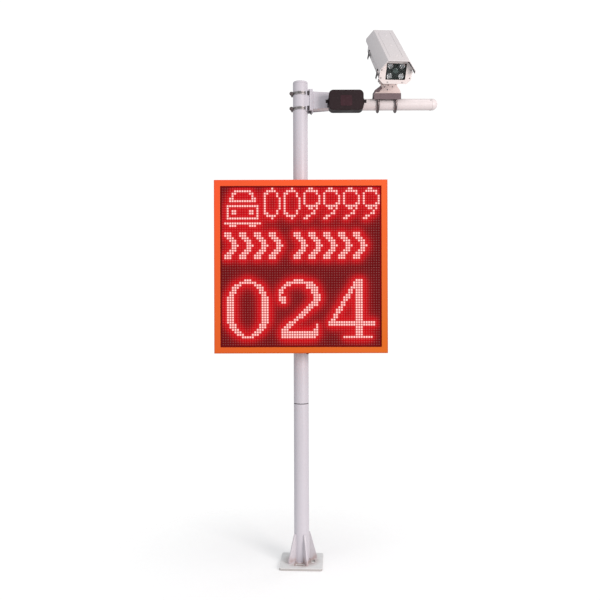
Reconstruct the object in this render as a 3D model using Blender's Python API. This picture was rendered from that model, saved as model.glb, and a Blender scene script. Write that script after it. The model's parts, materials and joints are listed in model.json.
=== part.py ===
"""Roadside speed sign: LED display, radar head and camera on a bolted steel mast.

Frame: origin at the centre of the base plate's underside, +Z up along the mast, the display
faces -Y and the crossarm runs along +X. All sizes are in metres.
"""
import math

import bmesh
import bpy
from mathutils import Matrix, Vector

# ---- driving dimensions -------------------------------------------------------------------
GAP = 0.0003                 # clearance kept between touching solids
ROUND = 32                   # sides of the large round sections
FINE = 14                    # sides of the small round sections

BASE_SIDE = 0.178
BASE_THICK = 0.010
BASE_TURN = math.radians(-3.0)
GUSSET_TOP = 0.128
GUSSET_REACH = 0.068
GUSSET_THICK = 0.006
GUSSET_ANGLES = {"front_left": 216, "front_right": 290, "rear_right": 20, "rear_left": 110}

POLE_R = 0.0315
POLE_WALL = 0.003
JOINT_Z = 0.675
JOINT_GAP = 0.003            # open seam between the two tubes
POLE_TOP = 2.020
CAP_TOP = 2.031

DISPLAY_Z = 1.245            # centre of the display
DISPLAY_SIDE = 0.700
BEZEL_BORDER = 0.025
DISPLAY_FRONT = -0.135
CABINET_BACK = -0.045
LED_AREA = 0.640             # 64 lamps at a pitch of 10 mm
SHEET = 0.002
BAY_W = 0.250
BAY_H = 0.460
BAY_X = 0.182
GLAND_X = 0.290
GLAND_Z = DISPLAY_Z - 0.328

DOOR_HINGE_X = 0.328
DOOR_EDGE_X = 0.044
DOOR_HALF_H = 0.250
RAIL_OFFSET = 0.285
RAIL_LENGTH = 0.520

ARM_Z = 1.9340
ARM_R = 0.024
ARM_END = 0.5545
BAND_HEIGHTS = {"top": 1.9775, "bottom": 1.9140}
FLANGE_LOW = 1.9033
FLANGE_HIGH = 1.9938
FLANGE_HALF_Y = 0.0290
CHEEK_THICK = 0.004

RADAR_X = 0.1876
RADAR_Z = 1.927
RADAR_W = 0.142
RADAR_H = 0.083
RADAR_FRONT = -0.100
RADAR_REAR = -0.050
RADAR_PIVOT_Y = -0.075

CAM_X = 0.370                # pan axis of the camera
SADDLE_X = 0.363
SADDLE_W = 0.113
SADDLE_TOP = 1.9695
CAM_PIVOT_Z = 2.035
CAM_YAW = math.radians(4.0)
CAM_TILT = math.radians(37.5)
HOUSING_HALF_W = 0.065
HOUSING_FLOOR = 0.038        # heights above the tilt axis, in the housing's own frame
HOUSING_SPLIT = 0.078
HOUSING_ROOF = 0.134
HOUSING_EAVES = 0.101
HOUSING_ROOF_HALF = 0.037
HOUSING_FRONT = -0.138
HOUSING_BACK = 0.203
HOUSING_WALL = 0.0025
HOUSING_HINGE_X = HOUSING_HALF_W + 0.0045
LATCH_Y = {"front": -0.120, "rear": 0.120}
SHIELD_TOP = 0.140
SHIELD_FRONT = -0.170
SHIELD_LENGTH = 0.405
SHIELD_SCREWS = (-0.110, 0.025, 0.160)

PAINTED = ("pole_paint", (0.66, 0.62, 0.66), 0.45, 0.0)
ORANGE = ("orange_paint", (0.85, 0.16, 0.05), 0.4, 0.0)
STEEL = ("zinc_steel", (0.55, 0.53, 0.54), 0.35, 1.0)
DARK_STEEL = ("dark_steel", (0.19, 0.14, 0.15), 0.5, 0.6)
ALUMINIUM = ("aluminium", (0.7, 0.7, 0.72), 0.4, 1.0)
LED_FACE = ("led_face", (0.10, 0.01, 0.015), 0.6, 0.0)
BLACK = ("black_plastic", (0.03, 0.022, 0.024), 0.5, 0.0)
RADOME = ("radome", (0.045, 0.02, 0.024), 0.35, 0.0)
BOARD = ("circuit_board", (0.02, 0.12, 0.05), 0.5, 0.0)
WHITE = ("white_paint", (0.82, 0.76, 0.76), 0.35, 0.0)
GREY_BOX = ("grey_plastic", (0.4, 0.4, 0.42), 0.5, 0.0)
GLASS = ("clear_glass", (0.9, 0.92, 0.92), 0.05, 0.0)
LENS = ("lens_glass", (0.05, 0.08, 0.08), 0.08, 0.0)


# ---- solid modelling helpers --------------------------------------------------------------
def clear_scene():
    for thing in list(bpy.data.objects):
        bpy.data.objects.remove(thing, do_unlink=True)


def material(spec):
    """The Principled material of a finish, made once."""
    name, colour, roughness, metallic = spec
    found = bpy.data.materials.get(name)
    if found:
        return found
    made = bpy.data.materials.new(name)
    made.use_nodes = True
    shader = made.node_tree.nodes["Principled BSDF"]
    shader.inputs["Base Color"].default_value = (*colour, 1.0)
    shader.inputs["Roughness"].default_value = roughness
    shader.inputs["Metallic"].default_value = metallic
    made.diffuse_color = (*colour, 1.0)
    return made


def node(name, solid, finish, origin=(0, 0, 0), frame=None):
    """Make a named object from a solid, with its origin at a point of the object's frame."""
    place = (frame or Matrix.Identity(4)) @ Matrix.Translation(origin)
    bmesh.ops.translate(solid, vec=-Vector(origin), verts=solid.verts)
    bmesh.ops.recalc_face_normals(solid, faces=solid.faces)
    mesh = bpy.data.meshes.new(name)
    solid.to_mesh(mesh)
    solid.free()
    mesh.shade_smooth()
    mesh.set_sharp_from_angle(angle=math.radians(32))
    mesh.materials.append(material(finish))
    thing = bpy.data.objects.new(name, mesh)
    thing.matrix_world = place
    bpy.context.collection.objects.link(thing)
    return thing


def boolean(solid, tools, operation):
    """Combine a solid with others by the exact Boolean solver."""
    objects = []
    for part in [solid, *tools]:
        bmesh.ops.recalc_face_normals(part, faces=part.faces)
        mesh = bpy.data.meshes.new("working")
        part.to_mesh(mesh)
        part.free()
        working = bpy.data.objects.new("working", mesh)
        bpy.context.collection.objects.link(working)
        objects.append(working)
    target = objects[0]
    for tool in objects[1:]:
        step = target.modifiers.new("step", "BOOLEAN")
        step.operation = operation
        step.solver = "EXACT"
        step.object = tool
    evaluated = target.evaluated_get(bpy.context.evaluated_depsgraph_get())
    result = bmesh.new()
    result.from_mesh(evaluated.to_mesh())
    evaluated.to_mesh_clear()
    for working in objects:
        mesh = working.data
        bpy.data.objects.remove(working, do_unlink=True)
        bpy.data.meshes.remove(mesh)
    bmesh.ops.remove_doubles(result, verts=result.verts, dist=1e-6)
    bmesh.ops.dissolve_degenerate(result, edges=result.edges, dist=1e-6)
    return result


def union(solid, *tools):
    return boolean(solid, tools, "UNION")


def cut(solid, *tools):
    return boolean(solid, tools, "DIFFERENCE")


def point(axis, u, v, w):
    """A point from two coordinates across an axis and one along it."""
    return {"X": (w, u, v), "Y": (u, w, v), "Z": (u, v, w)}[axis]


def prism(axis, outline, low, high, holes=()):
    """A plate of any outline with holes, between two positions along an axis."""
    solid = bmesh.new()
    edges = []
    for loop in (outline, *holes):
        corners = [solid.verts.new(point(axis, u, v, low)) for u, v in loop]
        edges += [solid.edges.new((corners[i - 1], corners[i])) for i in range(len(corners))]
    bmesh.ops.triangle_fill(solid, use_beauty=True, edges=edges)
    grown = bmesh.ops.extrude_face_region(
        solid, geom=solid.faces[:] + solid.edges[:], use_keep_orig=True)
    moved = [item for item in grown["geom"] if isinstance(item, bmesh.types.BMVert)]
    shift = Vector(point(axis, 0, 0, high - low))
    bmesh.ops.translate(solid, vec=shift, verts=moved)
    bmesh.ops.recalc_face_normals(solid, faces=solid.faces)
    return solid


def rectangle(width, height, cu=0.0, cv=0.0):
    half_w, half_h = width / 2, height / 2
    return [(cu - half_w, cv - half_h), (cu + half_w, cv - half_h),
            (cu + half_w, cv + half_h), (cu - half_w, cv + half_h)]


def arc(radius, start, stop, steps, cu=0.0, cv=0.0):
    """Points of an arc between two angles in degrees."""
    angles = [math.radians(start + (stop - start) * i / steps) for i in range(steps + 1)]
    return [(cu + radius * math.cos(a), cv + radius * math.sin(a)) for a in angles]


def circle(radius, cu=0.0, cv=0.0, sides=FINE):
    return arc(radius, 0, 360 - 360 / sides, sides - 1, cu, cv)


def rounded(width, height, radius, cu=0.0, cv=0.0, steps=4):
    """A rectangle with round corners."""
    half_w, half_h = width / 2 - radius, height / 2 - radius
    outline = []
    for turn, (su, sv) in enumerate(((1, 1), (-1, 1), (-1, -1), (1, -1))):
        outline += arc(radius, 90 * turn, 90 * turn + 90, steps, cu + su * half_w, cv + sv * half_h)
    return outline


def slot(length, width, cu=0.0, cv=0.0, upright=False):
    """A hole with round ends, along the first or the second coordinate."""
    reach = (length - width) / 2
    if upright:
        return (arc(width / 2, 0, 180, 8, cu, cv + reach)
                + arc(width / 2, 180, 360, 8, cu, cv - reach))
    return (arc(width / 2, -90, 90, 8, cu + reach, cv)
            + arc(width / 2, 90, 270, 8, cu - reach, cv))


def box(x, y, z):
    """A box from three (low, high) pairs."""
    centre = ((x[0] + x[1]) / 2, (y[0] + y[1]) / 2)
    return prism("Z", rectangle(x[1] - x[0], y[1] - y[0], *centre), *z)


def rod(axis, radius, low, high, cu=0.0, cv=0.0, sides=FINE):
    return prism(axis, circle(radius, cu, cv, sides), low, high)


def pipe(axis, outer, inner, low, high, cu=0.0, cv=0.0, sides=FINE):
    return prism(axis, circle(outer, cu, cv, sides), low, high, [circle(inner, cu, cv, sides)])


def hexagon(across_flats, cu=0.0, cv=0.0):
    return circle(across_flats / math.sqrt(3), cu, cv, 6)


def turned(profile, centre, axis="Z", sides=ROUND):
    """A solid turned from a closed profile of (radius, height) points."""
    solid = bmesh.new()
    rings = []
    for radius, height in profile:
        if radius == 0:
            rings.append([solid.verts.new(point(axis, 0, 0, height))])
        else:
            rings.append([solid.verts.new(point(axis, u, v, height))
                          for u, v in circle(radius, sides=sides)])
    for here, there in zip(rings, rings[1:]):
        for i in range(sides):
            corners = {here[i % len(here)], here[(i + 1) % len(here)],
                       there[i % len(there)], there[(i + 1) % len(there)]}
            ordered = [here[i % len(here)], here[(i + 1) % len(here)],
                       there[(i + 1) % len(there)], there[i % len(there)]]
            loop = list(dict.fromkeys(ordered))
            if len(corners) > 2:
                solid.faces.new(loop)
    bmesh.ops.translate(solid, vec=centre, verts=solid.verts)
    bmesh.ops.recalc_face_normals(solid, faces=solid.faces)
    return solid


def swept(path, radius, sides=10):
    """A round bar along a path of points."""
    solid = bmesh.new()
    rings = []
    side = None
    for i, here in enumerate(path):
        ahead = Vector(path[min(i + 1, len(path) - 1)]) - Vector(path[max(i - 1, 0)])
        ahead.normalize()
        if side is None:
            side = ahead.orthogonal()
        side = (side - side.dot(ahead) * ahead).normalized()
        other = ahead.cross(side)
        rings.append([solid.verts.new(Vector(here) + radius * (math.cos(a) * side + math.sin(a) * other))
                      for a in (2 * math.pi * k / sides for k in range(sides))])
    for here, there in zip(rings, rings[1:]):
        for k in range(sides):
            solid.faces.new((here[k], here[(k + 1) % sides], there[(k + 1) % sides], there[k]))
    solid.faces.new(rings[0])
    solid.faces.new(rings[-1])
    bmesh.ops.recalc_face_normals(solid, faces=solid.faces)
    return solid


def turn(solid, angle, centre=(0, 0, 0)):
    """Turn a solid about an upright axis."""
    bmesh.ops.rotate(solid, verts=solid.verts, cent=centre, matrix=Matrix.Rotation(angle, 3, "Z"))


# ---- mast ---------------------------------------------------------------------------------
def build_base():
    """Base plate with four anchor slots, and four welded ribs that stand between them."""
    slot_length, slot_width, slot_along, slot_out = 0.038, 0.016, -0.0065, -0.048
    cable_r, cable_y = 0.009, 0.016
    side = prism("Z", rounded(BASE_SIDE, BASE_SIDE, 0.010), 0, BASE_THICK)
    turn(side, BASE_TURN)
    slots = []
    for quarter in range(4):
        hole = prism("Z", slot(slot_length, slot_width, slot_along, slot_out), -0.001, BASE_THICK + 0.001)
        turn(hole, math.radians(90 * quarter))
        slots.append(hole)
    cable_hole = rod("Z", cable_r, -0.001, BASE_THICK + 0.001, 0, cable_y)
    node("base_plate", cut(side, *slots, cable_hole), PAINTED)

    root, foot, toe, weld = POLE_R + GAP, BASE_THICK + GAP, 0.012, 0.006
    outline = [(root + weld, foot), (GUSSET_REACH, foot), (GUSSET_REACH, foot + toe),
               (root + weld, GUSSET_TOP), (root, GUSSET_TOP), (root, foot + weld)]
    for name, angle in GUSSET_ANGLES.items():
        rib = prism("Y", outline, -GUSSET_THICK / 2, GUSSET_THICK / 2)
        turn(rib, math.radians(angle))
        node(f"gusset_{name}", rib, PAINTED)


def build_pole():
    """Two tubes joined by an inner sleeve, with a hand hole, its cover and a domed cap."""
    bore = POLE_R - POLE_WALL
    hand_z, hand_w, hand_h = 0.400, 0.036, 0.110
    window = prism("Y", slot(hand_h, hand_w, 0, hand_z, upright=True), 0.015, 0.040)
    lower = pipe("Z", POLE_R, bore, BASE_THICK + GAP, JOINT_Z - JOINT_GAP / 2, sides=ROUND)
    node("lower_pole", cut(lower, window), PAINTED)

    upper = pipe("Z", POLE_R, bore, JOINT_Z + JOINT_GAP / 2, POLE_TOP, sides=ROUND)
    feed_r = 0.011
    feeds = [rod("Y", feed_r, -0.040, -0.015, 0, DISPLAY_Z - 0.100),
             rod("X", feed_r, 0.015, 0.040, 0, ARM_Z)]
    node("upper_pole", cut(upper, *feeds), PAINTED)

    sleeve_reach = 0.100
    node("joint_sleeve", pipe("Z", bore - GAP, bore - 0.004, JOINT_Z - sleeve_reach,
                              JOINT_Z + sleeve_reach, sides=ROUND), STEEL)

    rim, skirt_low = 0.0026, POLE_TOP - 0.018
    plug_r = bore - GAP
    profile = [(0, CAP_TOP), (0.016, CAP_TOP - 0.0003), (0.026, CAP_TOP - 0.0010),
               (POLE_R - 0.002, CAP_TOP - 0.0020), (POLE_R, CAP_TOP - 0.0045), (POLE_R, POLE_TOP + GAP),
               (plug_r, POLE_TOP + GAP), (plug_r, skirt_low), (plug_r - rim, skirt_low),
               (plug_r - rim, POLE_TOP), (0, POLE_TOP)]
    node("pole_cap", turned(profile, (0, 0, 0), sides=24), PAINTED)

    inner, outer = POLE_R + GAP, POLE_R + 0.0023
    half = 46
    shell = arc(inner, 90 - half, 90 + half, 12) + arc(outer, 90 + half, 90 - half, 12)
    cover = prism("Z", shell, hand_z - 0.067, hand_z + 0.067)
    heads = [rod("Y", 0.0055, POLE_R + 0.001, POLE_R + 0.0055, 0, hand_z + side * 0.0595)
             for side in (-1, 1)]
    node("handhole_cover", union(cover, *heads), PAINTED)


# ---- display ------------------------------------------------------------------------------
def build_display_case():
    """Orange front frame, and the sheet-metal cabinet with its hinge lugs and cable gland."""
    opening = DISPLAY_SIDE - 2 * BEZEL_BORDER
    return_depth, lip_depth = 0.040, 0.006
    front = prism("Y", rectangle(DISPLAY_SIDE, DISPLAY_SIDE, 0, DISPLAY_Z),
                  DISPLAY_FRONT, DISPLAY_FRONT + SHEET, [rectangle(opening, opening, 0, DISPLAY_Z)])
    inner = DISPLAY_SIDE - 2 * SHEET
    sides = prism("Y", rectangle(DISPLAY_SIDE, DISPLAY_SIDE, 0, DISPLAY_Z), DISPLAY_FRONT,
                  DISPLAY_FRONT + return_depth, [rectangle(inner, inner, 0, DISPLAY_Z)])
    lip_outer = opening + 2 * SHEET
    lip = prism("Y", rectangle(lip_outer, lip_outer, 0, DISPLAY_Z), DISPLAY_FRONT,
                DISPLAY_FRONT + lip_depth, [rectangle(opening, opening, 0, DISPLAY_Z)])
    node("bezel", union(front, sides, lip), ORANGE)

    case_side = inner - 2 * GAP
    case_inner = case_side - 2 * SHEET
    case_front = DISPLAY_FRONT + 0.030
    walls = prism("Y", rectangle(case_side, case_side, 0, DISPLAY_Z), case_front, CABINET_BACK,
                  [rectangle(case_inner, case_inner, 0, DISPLAY_Z)])
    bays = [rectangle(BAY_W, BAY_H, side * BAY_X, DISPLAY_Z) for side in (-1, 1)]
    feed = circle(0.008, 0, DISPLAY_Z - 0.100)
    back = prism("Y", rectangle(case_side, case_side, 0, DISPLAY_Z), CABINET_BACK - SHEET,
                 CABINET_BACK, [*bays, feed])
    lugs = []
    pin_r, lug = 0.002, 0.005
    for side in (-1, 1):
        for end in (-1, 1):
            z_face = DISPLAY_Z + end * (DOOR_HALF_H + 0.0006)
            z_far = z_face + end * 0.012
            z_tip = z_face - end * 0.010
            low, high = sorted((z_face, z_far))
            lugs.append(box((side * DOOR_HINGE_X - lug, side * DOOR_HINGE_X + lug),
                            (CABINET_BACK - SHEET / 2, CABINET_BACK + 2 * lug), (low, high)))
            low, high = sorted((z_far - end * 0.002, z_tip))
            lugs.append(rod("Z", pin_r, low, high, side * DOOR_HINGE_X, CABINET_BACK + lug, 12))
    gland_hole = rod("Y", 0.0105, CABINET_BACK - 0.01, CABINET_BACK + 0.01, GLAND_X, GLAND_Z)
    node("cabinet_shell", cut(union(walls, back, *lugs), gland_hole), ORANGE)

    bore = 0.006
    thread = pipe("Y", 0.0100, bore, CABINET_BACK - 0.014, CABINET_BACK + 0.002, GLAND_X, GLAND_Z)
    collar = prism("Y", hexagon(0.022, GLAND_X, GLAND_Z), CABINET_BACK + GAP, CABINET_BACK + 0.018,
                   [circle(bore, GLAND_X, GLAND_Z)])
    node("cable_gland", union(thread, collar), BLACK)


def build_display_inside():
    """Four LED modules on a carrier plate, with the power and control boxes behind it."""
    module = LED_AREA / 2
    face_y, module_depth, wall = DISPLAY_FRONT + 0.0065, 0.0155, 0.004
    clear = 0.0004
    for row, z_side in (("upper", 1), ("lower", -1)):
        for column, x_side in (("left", -1), ("right", 1)):
            side = module - 2 * clear
            at = (x_side * module / 2, DISPLAY_Z + z_side * module / 2)
            front = prism("Y", rectangle(side, side, *at), face_y, face_y + wall)
            rim = prism("Y", rectangle(side, side, *at), face_y, face_y + module_depth,
                        [rectangle(side - 2 * wall, side - 2 * wall, *at)])
            node(f"led_module_{row}_{column}", union(front, rim), LED_FACE)

    plate_front = face_y + module_depth + GAP
    plate_back = plate_front + 0.003
    windows = [rectangle(0.130, 0.130, (i - 1.5) * 0.160, DISPLAY_Z + (k - 1.5) * 0.160)
               for i in range(4) for k in range(4)]
    node("carrier_plate", prism("Y", rectangle(0.684, 0.684, 0, DISPLAY_Z), plate_front, plate_back,
                                windows), ALUMINIUM)

    seat = plate_back + GAP
    boxes = {"power_supply": (-0.190, 0.120, 0.215, 0.110, 0.030, STEEL),
             "display_controller": (-0.190, -0.050, 0.170, 0.100, 0.018, BOARD),
             "battery_pack": (0.190, 0.110, 0.220, 0.160, 0.042, GREY_BOX),
             "charge_controller": (0.190, -0.060, 0.150, 0.090, 0.026, BLACK),
             "terminal_block": (0.190, -0.170, 0.120, 0.030, 0.024, GREY_BOX)}
    for name, (x, z, width, height, depth, finish) in boxes.items():
        centre = (x, DISPLAY_Z + z)
        flange = prism("Y", rounded(width, height, 0.004, *centre, steps=2), seat, seat + 0.0025)
        body = prism("Y", rounded(width - 0.020, height - 0.004, 0.003, *centre, steps=2),
                     seat + 0.001, seat + depth)
        node(name, union(flange, body), finish)


def build_doors():
    """Two rear service doors on pins, each with a quarter-turn lock."""
    skin_y = CABINET_BACK + 0.012
    lock_x = DOOR_EDGE_X + 0.034
    barrel_y = CABINET_BACK + 0.005
    for name, side in (("left", 1), ("right", -1)):
        free, hinge = side * DOOR_EDGE_X, side * (DOOR_HINGE_X - 0.009)
        centre_x, width = (free + hinge) / 2, abs(hinge - free)
        height = 2 * DOOR_HALF_H
        wall = 0.0015
        skin = prism("Y", rectangle(width, height, centre_x, DISPLAY_Z), skin_y - wall, skin_y,
                     [circle(0.0103, side * lock_x, DISPLAY_Z)])
        rim = prism("Y", rectangle(width, height, centre_x, DISPLAY_Z), CABINET_BACK + GAP, skin_y,
                    [rectangle(width - 2 * wall, height - 2 * wall, centre_x, DISPLAY_Z)])
        edge_x = sorted((hinge - side * wall / 2, side * (DOOR_HINGE_X - 0.002)))
        leaf = box(edge_x, (barrel_y + 0.0015, barrel_y + 0.003),
                   (DISPLAY_Z - DOOR_HALF_H, DISPLAY_Z + DOOR_HALF_H))
        barrel = rod("Z", 0.0045, DISPLAY_Z - DOOR_HALF_H, DISPLAY_Z + DOOR_HALF_H,
                     side * DOOR_HINGE_X, barrel_y)
        bores = [rod("Z", 0.0023, *sorted((DISPLAY_Z + end * (DOOR_HALF_H - 0.012),
                                           DISPLAY_Z + end * (DOOR_HALF_H + 0.002))),
                     side * DOOR_HINGE_X, barrel_y, 12) for end in (-1, 1)]
        door = cut(union(skin, rim, leaf, barrel), *bores)
        node(f"door_{name}", door, ORANGE, (side * DOOR_HINGE_X, barrel_y, DISPLAY_Z))

        body = rod("Y", 0.010, CABINET_BACK - SHEET - 0.0055, skin_y + 0.003,
                   side * lock_x, DISPLAY_Z)
        head = rod("Y", 0.0125, skin_y + GAP, skin_y + 0.0035, side * lock_x, DISPLAY_Z)
        key_slot = box((side * lock_x - 0.0012, side * lock_x + 0.0012),
                       (skin_y + 0.002, skin_y + 0.005), (DISPLAY_Z - 0.006, DISPLAY_Z + 0.006))
        tongue = prism("Y", slot(0.042, 0.014, side * lock_x, DISPLAY_Z + 0.014, upright=True),
                       CABINET_BACK - SHEET - 0.005, CABINET_BACK - SHEET - 0.0025)
        node(f"lock_{name}", cut(union(body, head, tongue), key_slot), STEEL,
             (side * lock_x, skin_y, DISPLAY_Z))


def build_display_rails():
    """Two channels behind the cabinet, each clamped to the mast by a U-bolt."""
    web_back = -POLE_R - GAP
    flange_front = CABINET_BACK + GAP
    height, wall = 0.040, 0.003
    bolt_r = 0.004
    leg_x = POLE_R + bolt_r + 0.0008
    for name, side in (("top", 1), ("bottom", -1)):
        z = DISPLAY_Z + side * RAIL_OFFSET
        web = prism("Y", rectangle(RAIL_LENGTH, height, 0, z), web_back - wall, web_back,
                    [circle(bolt_r + 0.0005, sign * leg_x, z) for sign in (-1, 1)])
        flanges = [box((-RAIL_LENGTH / 2, RAIL_LENGTH / 2), (flange_front, web_back),
                       (z + sign * height / 2 - (wall if sign > 0 else 0),
                        z + sign * height / 2 + (wall if sign < 0 else 0))) for sign in (-1, 1)]
        node(f"rail_{name}", union(web, *flanges), PAINTED)

        bend = [(x, y, z) for x, y in arc(leg_x, 180, 0, 12)]
        tip_y = flange_front + 0.002
        path = [(-leg_x, tip_y, z), *bend, (leg_x, tip_y, z)]
        nuts = [prism("Y", hexagon(0.013, sign * leg_x, z), web_back - wall - 0.0068,
                      web_back - wall - GAP) for sign in (-1, 1)]
        node(f"rail_u_bolt_{name}", union(swept(path, bolt_r), *nuts), STEEL)


# ---- crossarm -----------------------------------------------------------------------------
def build_arm():
    """Saddle and band clamps on the mast, the plated root, the crossarm tube and its end cap."""
    plate_x, plate_thick = 0.0395, 0.0065
    height, mid = FLANGE_HIGH - FLANGE_LOW, (FLANGE_LOW + FLANGE_HIGH) / 2
    hug_r = POLE_R + GAP
    bolt_r, bolt_y, bolt_z = 0.003, 0.0125, 0.0155
    bolt_at = [(sy * bolt_y, mid + sz * bolt_z) for sy in (-1, 1) for sz in (-1, 1)]

    end_plate = prism("X", rounded(2 * FLANGE_HALF_Y, height, 0.004, 0, mid), plate_x,
                      plate_x + plate_thick, [circle(bolt_r + 0.0004, *at) for at in bolt_at])
    wall_in, wall_out = 0.0225, 0.0255
    walls = [box((0.015, plate_x + 0.001), sorted((s * wall_in, s * wall_out)), (FLANGE_LOW, FLANGE_HIGH))
             for s in (-1, 1)]
    relief = rod("Z", hug_r, FLANGE_LOW - 0.01, FLANGE_HIGH + 0.01, sides=ROUND)
    notches = [pipe("Z", hug_r + 0.0022, 0.02, z - 0.0075, z + 0.0075, sides=ROUND)
               for z in BAND_HEIGHTS.values()]
    node("arm_saddle", cut(union(end_plate, *walls), relief, *notches), PAINTED)

    band_outer, band_half = hug_r + 0.0010, 0.0062
    for name, z in BAND_HEIGHTS.items():
        band = pipe("Z", band_outer, hug_r, z - band_half, z + band_half, sides=ROUND)
        case_x = -band_outer - 0.0065
        case = box((case_x, -band_outer + 0.0006), (-0.006, 0.018), (z - 0.0065, z + 0.0085))
        screw_at = (case_x + 0.0035, z + 0.001)
        screw = rod("Y", 0.0036, -0.012, 0.024, *screw_at, 12)
        head = prism("Y", hexagon(0.008, case_x + 0.003, z + 0.001), -0.016, -0.0115)
        hollow = rod("Z", hug_r, z - 0.02, z + 0.02, sides=ROUND)
        node(f"band_clamp_{name}", cut(union(band, case, screw, head), hollow), STEEL)

    flange_x = plate_x + plate_thick + GAP
    flange = prism("X", rounded(2 * FLANGE_HALF_Y, height, 0.004, 0, mid), flange_x,
                   flange_x + plate_thick, [circle(0.010, 0, ARM_Z)])
    nut_thick = 0.005
    studs = [union(rod("X", bolt_r, plate_x - 0.0070, flange_x + 0.002, *at, 10),
                   prism("X", hexagon(0.010, *at), plate_x - GAP - nut_thick, plate_x - GAP))
             for at in bolt_at]
    start = flange_x + plate_thick - 0.001
    outline = [(start, 1.9092), (0.118, 1.9148), (0.212, 1.9222), (0.232, 1.9300), (0.232, 1.9500),
               (0.212, 1.9700), (0.118, 1.9786), (start, 1.9824)]
    cheek_in = ARM_R + GAP
    cheeks = [prism("Y", outline, *sorted((s * cheek_in, s * (cheek_in + CHEEK_THICK)))) for s in (-1, 1)]
    node("arm_root", union(flange, *cheeks, *studs), PAINTED)

    tube_start = flange_x + plate_thick + GAP
    tube = pipe("X", ARM_R, ARM_R - 0.003, tube_start, ARM_END, 0, ARM_Z, ROUND)
    camera_feed = rod("Y", 0.008, 0.015, 0.030, CAM_X + 0.075, ARM_Z)
    node("arm_tube", cut(tube, camera_feed), PAINTED)

    face, dome_r, plug_r = ARM_END + GAP, ARM_R + 0.0003, ARM_R - 0.003 - GAP
    dome = [(dome_r * math.cos(a), face + dome_r * math.sin(a))
            for a in (math.radians(angle) for angle in (75, 60, 45, 30, 15, 0))]
    profile = [(0, face + dome_r), *dome, (plug_r, face), (plug_r, face - 0.014),
               (plug_r - 0.003, face - 0.014), (plug_r - 0.003, face + 0.006), (0, face + 0.006)]
    node("arm_end_cap", turned(profile, (0, 0, ARM_Z), "X", 24), PAINTED)


# ---- radar head ---------------------------------------------------------------------------
def build_radar():
    """Radar box on two thumbscrews in a strap yoke, so that it tilts about a level axis."""
    centre = (RADAR_X, RADAR_Z)
    corner = 0.018
    split = RADAR_FRONT + 0.014
    wall = 0.003
    bore_r, shaft_r = 0.0034, 0.0030
    pivot = (RADAR_X, RADAR_PIVOT_Y, RADAR_Z)
    outline = rounded(RADAR_W, RADAR_H, corner, *centre, steps=6)
    inside = rounded(RADAR_W - 2 * wall, RADAR_H - 2 * wall, corner - wall, *centre, steps=6)

    shell = prism("Y", outline, split + GAP, RADAR_REAR)
    pocket = prism("Y", inside, split - 0.001, RADAR_REAR - wall)
    shell = cut(shell, pocket)
    half = RADAR_W / 2
    bosses = [rod("X", 0.008, *sorted((RADAR_X + s * (half - 0.016), RADAR_X + s * (half - 0.001))),
                  RADAR_PIVOT_Y, RADAR_Z) for s in (-1, 1)]
    drills = [rod("X", bore_r, *sorted((RADAR_X + s * (half - 0.013), RADAR_X + s * (half + 0.004))),
                  RADAR_PIVOT_Y, RADAR_Z) for s in (-1, 1)]
    gland = prism("Y", hexagon(0.014, RADAR_X + 0.045, RADAR_Z - 0.025),
                  RADAR_REAR - 0.001, RADAR_REAR + 0.006)
    node("radar_rear_shell", cut(union(shell, *bosses, gland), *drills), BLACK, pivot)

    cover = prism("Y", outline, RADAR_FRONT + 0.002, split)
    crown = prism("Y", rounded(RADAR_W - 0.006, RADAR_H - 0.006, corner - 0.003, *centre, steps=6),
                  RADAR_FRONT, RADAR_FRONT + 0.003)
    pocket = prism("Y", inside, RADAR_FRONT + 0.005, split + 0.001)
    node("radar_front_cover", cut(union(cover, crown), pocket), RADOME, pivot)

    board = prism("Y", rounded(RADAR_W - 0.038, RADAR_H - 0.014, 0.008, *centre),
                  RADAR_FRONT + 0.0065, RADAR_FRONT + 0.0081)
    patches = [prism("Y", rectangle(0.012, 0.012, RADAR_X + (i - 1.5) * 0.019, RADAR_Z + k * 0.018),
                     RADAR_FRONT + 0.0058, RADAR_FRONT + 0.0070) for i in range(4) for k in (-1, 0, 1)]
    node("radar_antenna_board", union(board, *patches), BOARD, pivot)

    ear_x, ear_thick, strap_half = half + 0.0015, 0.0025, 0.013
    strap_back = -ARM_R - GAP - CHEEK_THICK - GAP
    strap_front = strap_back - 0.0030
    strap = box((RADAR_X - ear_x - ear_thick, RADAR_X + ear_x + ear_thick), (strap_front, strap_back),
                (RADAR_Z - strap_half, RADAR_Z + strap_half))
    arms = []
    for s in (-1, 1):
        low, high = sorted((RADAR_X + s * ear_x, RADAR_X + s * (ear_x + ear_thick)))
        ear = prism("X", [(strap_back, RADAR_Z - strap_half), (strap_back, RADAR_Z + strap_half),
                          *arc(0.011, 90, 270, 10, RADAR_PIVOT_Y, RADAR_Z)],
                    low, high, [circle(bore_r, RADAR_PIVOT_Y, RADAR_Z)])
        arms.append(ear)
    node("radar_yoke", union(strap, *arms), BLACK)

    for name, s in (("left", -1), ("right", 1)):
        face = ear_x + ear_thick + GAP
        shaft = rod("X", shaft_r, *sorted((RADAR_X + s * (half - 0.012), RADAR_X + s * (face + 0.004))),
                    RADAR_PIVOT_Y, RADAR_Z)
        knurls = 12
        grip = [(r * math.cos(a) + RADAR_PIVOT_Y, r * math.sin(a) + RADAR_Z)
                for r, a in ((0.0070 - 0.0007 * (i % 2), math.pi * i / knurls) for i in range(2 * knurls))]
        head = prism("X", grip, *sorted((RADAR_X + s * face, RADAR_X + s * (face + 0.0085))))
        node(f"radar_knob_{name}", union(shaft, head), BLACK,
             (RADAR_X + s * face, RADAR_PIVOT_Y, RADAR_Z))


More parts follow.
